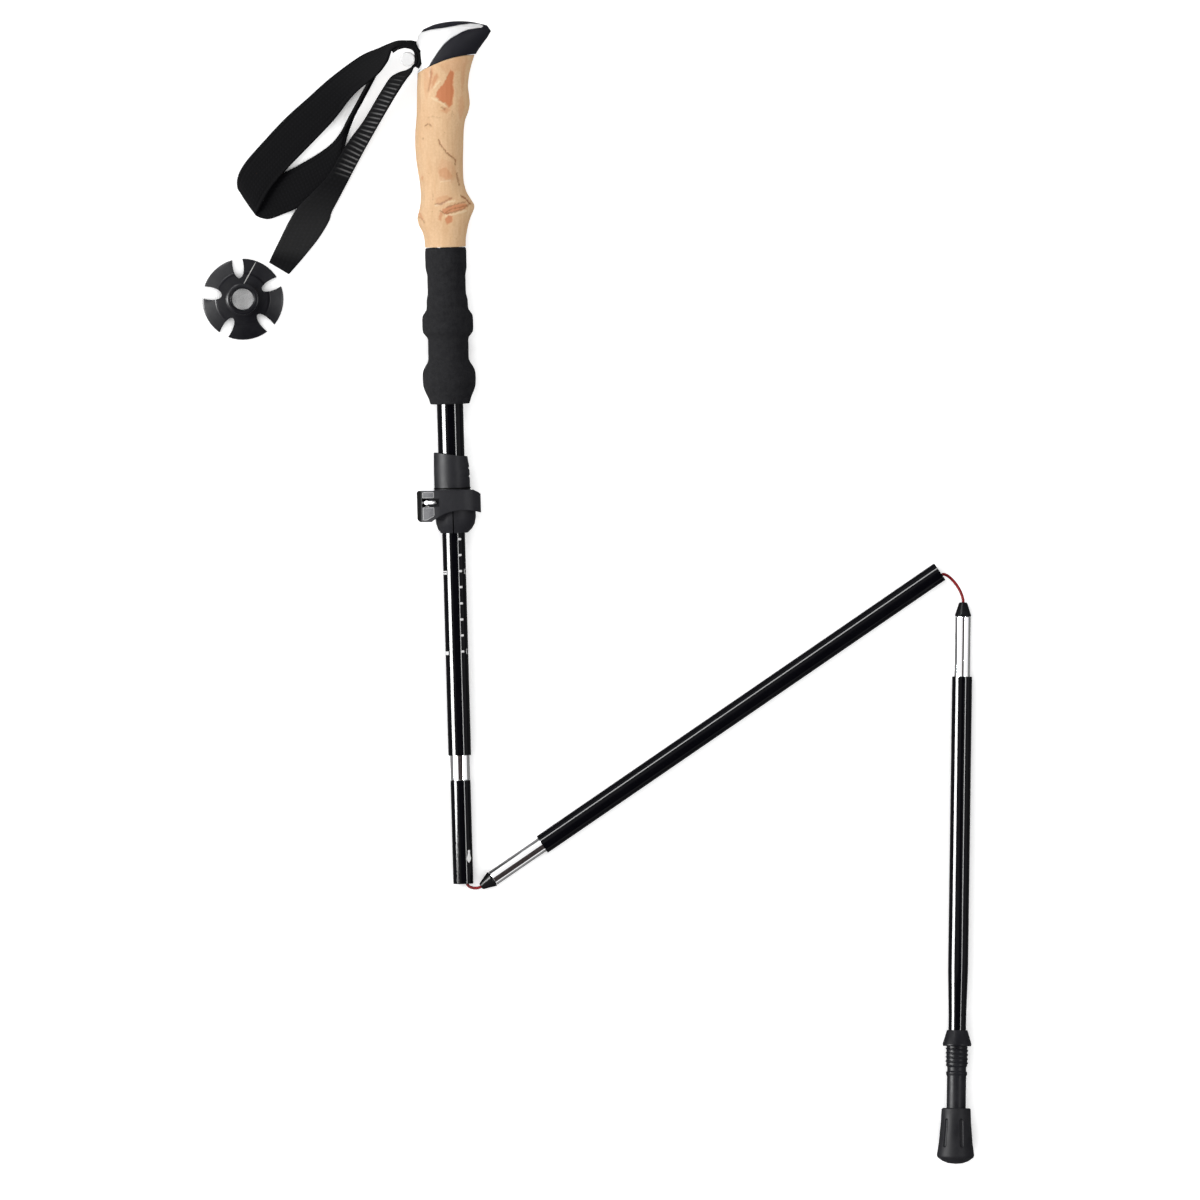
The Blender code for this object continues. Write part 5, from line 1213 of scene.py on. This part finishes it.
def add_number(flat, text, left, bottom):
    """A plain printed number. A digit's height is a share of its font's size."""
    words = bpy.data.curves.new("number_" + text, "FONT")
    words.body = text
    words.size = NUMBER_HEIGHT / DIGIT_SHARE
    words.space_character = DIGIT_SPACING
    holder = new_object("number_" + text, words)
    bpy.context.view_layer.update()
    shape = holder.evaluated_get(bpy.context.evaluated_depsgraph_get()).to_mesh()
    made = [flat.verts.new((left + vertex.co.x, 0.0, bottom + vertex.co.y)) for vertex in shape.vertices]
    for face in shape.polygons:
        flat.faces.new([made[index] for index in face.vertices])
    bpy.data.objects.remove(holder)
    bpy.data.curves.remove(words)


def add_print(name, flat, radius, body):
    """Flat shapes, wrapped round a tube as a thin film of white paint."""
    def on_tube(spot, out):
        turn = spot.x / radius
        return Vector(((radius + out) * math.sin(turn), -(radius + out) * math.cos(turn), spot.z))

    bmesh.ops.remove_doubles(flat, verts=flat.verts[:], dist=1e-5)
    reach = math.ceil(math.pi * radius / PRINT_STRIP)
    cut_across(flat, [PRINT_STRIP * k + FIRST_CUT for k in range(-reach, reach + 1)])
    film = film_mesh(name, flat, on_tube, PRINT_PROUD, PRINT_SUNK)
    piece = add_piece(name, film, print_white, body, "gloss_black_lacquer")
    piece.data.shade_flat()


flat = bmesh.new()
for row in TICK_ROWS:
    middle = round_tube(axis_column(row) + TICK_COLUMN, row, SCALE_RADIUS)
    add_bar(flat, middle, up_tube(row), *TICK_SIZE, TICK_CORNER)
for left, right, high, low, double in SCALE_BARS:
    first, last = (round_tube(column, low, SCALE_RADIUS) for column in (left, right))
    top, bottom = up_tube(high), up_tube(low)
    bars = (((top - BAR_INSET, THIN_BAR), (bottom + BAR_INSET, THIN_BAR)) if double
            else (((top + bottom) / 2, top - bottom),))
    for height, tall in bars:
        add_bar(flat, (first + last) / 2, height, last - first, tall, BAR_CORNER)
for row, text in NUMBERS:
    left = round_tube(axis_column(row) + NUMBER_COLUMN, row, SCALE_RADIUS)
    add_number(flat, text, left, up_tube(row) - NUMBER_DROP)
add_print("scale_print", flat, SCALE_RADIUS, "scale")

# The tensioning tube is bare aluminium where it leaves the scale tube. Below it the socket tube is
# lacquered black, with a small white drop printed at its mouth where the middle section plugs in.
DROP_COLUMN, DROP_END = 468.85, 862.4
# The drop's half width at each row, from its round head to its point.
DROP_SIDE = ((1.0, 849.7), (1.0, 853.0), (1.45, 855.2), (2.05, 857.8), (1.75, 859.6), (0.9, 861.4))
aluminium = grained_material("bare_aluminium", (0.95, 0.95, 0.96), (0.92, 0.92, 0.93), (0.03, 0.06),
                             0.0000015, metallic=1.0, scale=1200.0)
moulded("sliding_tube", "slider_tube", "slider", aluminium, 0.1, "bare_aluminium")
moulded("lacquered_socket_tube", "socket_tube", "slider", lacquer, 0.12, "gloss_black_lacquer")
rim = [(DROP_COLUMN - half, row) for half, row in DROP_SIDE] + [(DROP_COLUMN, DROP_END)]
rim += [(DROP_COLUMN + half, row) for half, row in reversed(DROP_SIDE)]
flat = bmesh.new()
add_outline(flat, [(round_tube(column, row, SOCKET_RADIUS), up_tube(row)) for column, row in rim])
add_print("socket_print", flat, SOCKET_RADIUS, "slider")

# Inside the telescope a moulded bush guides the scale tube. A plug closes the sliding tube, the cord's
# stop bears on it, and a sprung steel button locks the tube once the cord is taut.
bush = grained_material("bush_plastic", (0.20, 0.20, 0.22), (0.26, 0.26, 0.28), (0.45, 0.6), 0.00003)
dress(bush, "scale_tube_bush", "slider_plug", "spring_plug")
dress(steel, "cord_stop", "snap_button")


def steel_spring(name, node, body, joint, axis, anchor, keep):
    """A spring as the CAD has it, which shortens along an axis as the joint moves."""
    spring = add_piece(name, joined(node), steel, body, "steel")
    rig.replaces(spring, node)
    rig.squash(spring, joint, axis=axis, anchor=anchor, keep=keep)


steel_spring("bent_spring", "button_spring", "slider", "button_press",
             UPPER.to_3x3() @ Vector((0.0, 1.0, 0.0)), UPPER @ (Vector((0.0, 4.16, 90.0)) * MM), 0.8)

# The middle and lower sections are lacquered tubes with bare inserts. Moulded cones close the inserts
# and guide them into the tube before.
tip_black = grained_material("tip_plastic", (0.011, 0.011, 0.014), (0.020, 0.020, 0.024), (0.34, 0.44),
                             0.00003, specular=0.05, scale=2200.0)
cone_black = grained_material("cone_plastic", (0.006, 0.006, 0.007), (0.010, 0.010, 0.011), (0.22, 0.30),
                              0.00002, specular=0.05, scale=2200.0)
for place in ("middle", "lower"):
    moulded("lacquered_" + place + "_tube", place + "_tube", place, lacquer, 0.12, "gloss_black_lacquer")
    moulded("bare_" + place + "_insert", place + "_insert", place, aluminium, 0.1, "bare_aluminium")
    moulded("guide_cone_" + place, place + "_cone", place, cone_black, 0.15, "tip_plastic")

# The red tension cord is a braided sheath over a fibre core. It runs through all the sections and shows
# only where they meet, bending there as the pole folds.
CORD_RADIUS = 0.92
CORD_OFFSET = Vector((2.4, 2.0))
MIDDLE_LENGTH = 347.0
BRAID_SIDES, BRAID_PICKS, BRAID_LAY, BRAID_RISE = 28, 6, 2.6, 0.05
BRIDGE_STEPS = 60
UP = Vector((0.0, 0.0, 1.0))


def cord_material():
    """Braided polyester: red strands with darker gaps between them."""
    material, tree, shader = blank_material("cord_sheath", (0.52, 0.010, 0.016), 0.6, specular=0.1)
    strands = cell_texture(tree, position(tree), 1500.0)
    gaps = spread(tree, strands, 0.0, 1.0, 0.2, 0.6)
    connect(tree, shader, {"Base Color": mix(tree, gaps, (0.46, 0.002, 0.006), (0.20, 0.001, 0.003))})
    bump(tree, shader, strands, 0.00006)
    return material


def bridge_points(start, way_out, end, way_in, reach_out, reach_in):
    """The cord's run between two sections, in metres: it leaves one bore and enters the next."""
    second, third = start + way_out * reach_out * MM, end - way_in * reach_in * MM
    shares = [k / BRIDGE_STEPS for k in range(BRIDGE_STEPS + 1)]
    return [start * (1.0 - t) ** 3 + second * 3 * (1.0 - t) * (1.0 - t) * t
            + third * 3 * (1.0 - t) * t * t + end * t ** 3 for t in shares]


def braid_mesh(name, points):
    """A round cord with the crossing ridges of its braid, closed at both ends."""
    rings, along = [], 0.0
    across = (points[1] - points[0]).cross(Vector((0.0, 0.3, 1.0))).normalized()
    for i, point in enumerate(points):
        run = (points[min(i + 1, len(points) - 1)] - points[max(i - 1, 0)]).normalized()
        across = (across - run * across.dot(run)).normalized()
        other = run.cross(across)
        along += (point - points[i - 1]).length / MM if i else 0.0
        twist = math.tau * along / BRAID_LAY
        ring = []
        for k in range(BRAID_SIDES):
            angle = math.tau * k / BRAID_SIDES
            ridge = max(math.cos(BRAID_PICKS * angle / 2 + way * twist) for way in (1, -1))
            size = (CORD_RADIUS - BRAID_RISE + BRAID_RISE * ridge) * MM
            ring.append((point + (across * math.cos(angle) + other * math.sin(angle)) * size) / MM)
        rings.append(ring)
    return lofted(name, rings)


cord_red = cord_material()
dress(cord_red, "cord_upper", "cord_middle", "cord_lower")
for name, node, first, second, leaves, spot, enters, reaches in (
        ("cord_bridge_1", "cord_fold_1", "slider", "middle", UPPER, (*CORD_OFFSET, 0.0), MIDDLE, (2.6, 3.4)),
        ("cord_bridge_2", "cord_fold_2", "middle", "lower", MIDDLE,
         (-CORD_OFFSET.x, CORD_OFFSET.y, -MIDDLE_LENGTH), LOWER, (4.0, 8.0))):
    run = bridge_points(leaves @ (Vector(spot) * MM), -(leaves.to_3x3() @ UP),
                        enters.translation, -(enters.to_3x3() @ UP), *reaches)
    bridge = add_bending_piece(name, braid_mesh(name, run), cord_red, (first, second), run[0], run[-1],
                               "cord_sheath")
    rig.replaces(bridge, node)

# In the lower tube a steel spring keeps the cord taut. It bears on a plug glued in the tube and on the
# crimp at the cord's end.
dress(steel, "cord_crimp")
steel_spring("wound_spring", "tension_spring", "lower", "crimp_slide", LOWER.to_3x3() @ UP,
             LOWER @ (Vector((0.0, 0.0, -172.3)) * MM), 0.44)

# The tip holder is moulded in black plastic and glued in the lower tube. Under its collar it has the
# coarse thread that the basket screws onto.
HOLDER_TOP = -266.7
THREAD_TOP, THREAD_BOTTOM = HOLDER_TOP - 10.25, HOLDER_TOP - 22.7
THREAD_PITCH = 2.6
THREAD_ROOT, THREAD_CREST = 6.45, 7.05
THREAD_SIDES, THREAD_STEP = 72, 0.2
moulded("tip_moulding", "tip_holder", "lower", tip_black, 0.25, "tip_plastic")
dress(steel, "carbide_tip")


def thread_mesh(name):
    """A round-crested thread that fades out at both ends."""
    count = math.ceil((THREAD_TOP - THREAD_BOTTOM) / THREAD_STEP)

    def point(i, angle):
        height = THREAD_TOP + (THREAD_BOTTOM - THREAD_TOP) * i / count
        fade = min(1.0, i / 4, (count - i) / 4)
        turns = (THREAD_TOP - height) / THREAD_PITCH - angle / math.tau
        ridge = max(0.0, math.cos(math.tau * turns)) ** 0.8
        radius = THREAD_ROOT - 0.15 * (1 - fade) + (THREAD_CREST - THREAD_ROOT) * ridge * fade
        return on_ring(radius, angle, height)

    return lofted(name, rings_of(count, THREAD_SIDES, point), LOWER, inward=True)


add_piece("basket_thread", thread_mesh("basket_thread"), tip_black, "lower", "tip_plastic")

# The rubber cap covers the hard tip on hard ground. It is moulded in black rubber and pushed on by
# hand.
rubber_black = grained_material("rubber", (0.014, 0.014, 0.017), (0.024, 0.024, 0.027), (0.40, 0.52),
                                0.00006, specular=0.05, scale=1800.0)
moulded("rubber_cap", "rubber_tip", "tip_cap", rubber_black, 0.4, "rubber")

# The trail basket lies loose beside the pole. It is one flexible black moulding, slotted for lightness,
# with an inner thread in its bore and a crease where it was once bent.
BASKET_CENTRE = Vector((-215.5, 182.8, 0.0))
BORE_RADIUS, BORE_START = 7.32, 4.6
RIDGE_DEPTH, RIDGE_HALF, RIDGE_ROOT = 0.62, 0.75, 0.1
RIDGE_SECTION, RIDGE_TURNS = 8, 2.6
CREASE_ROWS = ((255.9, 262.0), (244.0, 284.0))
CREASE_HALF, CREASE_STEPS = 0.26, 60
CREASE_SUNK, CREASE_PROUD = -0.08, 0.03
basket_black = grained_material("basket_plastic", (0.006, 0.006, 0.009), (0.012, 0.012, 0.015),
                                (0.30, 0.38), 0.00003, specular=0.13, scale=2000.0)
moulded("trail_basket", "basket", "basket", basket_black, 0.3, "tip_plastic")


def bore_thread_mesh(name):
    """The basket's inner thread, a round ridge that winds up its bore."""
    count = int(THREAD_SIDES * RIDGE_TURNS)

    def point(i, turn):
        depth = RIDGE_DEPTH * min(1.0, i / 10, (count - i) / 10) + RIDGE_ROOT
        angle = math.tau * i / THREAD_SIDES
        height = BORE_START + THREAD_PITCH * i / THREAD_SIDES + RIDGE_HALF * math.sin(turn)
        return BASKET_CENTRE + on_ring(BORE_RADIUS - depth * math.cos(turn), angle, height)

    return lofted(name, rings_of(count, RIDGE_SECTION, point))


def crease_mesh(name):
    """A fine crease across the disc, where the black plastic was bent and turned white."""
    surface = surface_of("basket")
    start, end = (ground_point(*row) / MM for row in CREASE_ROWS)
    side = (end - start).cross(UP).normalized()
    rings = []
    for i in range(CREASE_STEPS + 1):
        half = CREASE_HALF * min(1.0, 0.4 + i / 20)
        ring = []
        for shift, rise in ((-half, CREASE_SUNK), (-half, CREASE_PROUD), (half, CREASE_PROUD),
                            (half, CREASE_SUNK)):
            spot = start.lerp(end, i / CREASE_STEPS) + side * shift
            hit = surface.ray_cast(Vector((spot.x, spot.y, RAY_START)) * MM, -UP)[0]
            ring.append((spot.x, spot.y, hit.z / MM + rise))
        rings.append(ring)
    return lofted(name, rings)


add_piece("basket_inner_thread", bore_thread_mesh("basket_inner_thread"), basket_black, "basket",
          "tip_plastic")
pale_crease = grained_material("stressed_plastic", (0.62, 0.62, 0.60), (0.40, 0.40, 0.39), (0.5, 0.6),
                               0.00001, specular=0.2)
crease = add_piece("basket_crease", crease_mesh("basket_crease"), pale_crease, "basket", "tip_plastic")
crease.data.shade_flat()

scene_low, scene_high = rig.bounds()
with open("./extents.json", "w") as size_file:
    json.dump({"cad": [list(cad_low), list(cad_high)], "scene": [list(scene_low), list(scene_high)]},
              size_file)
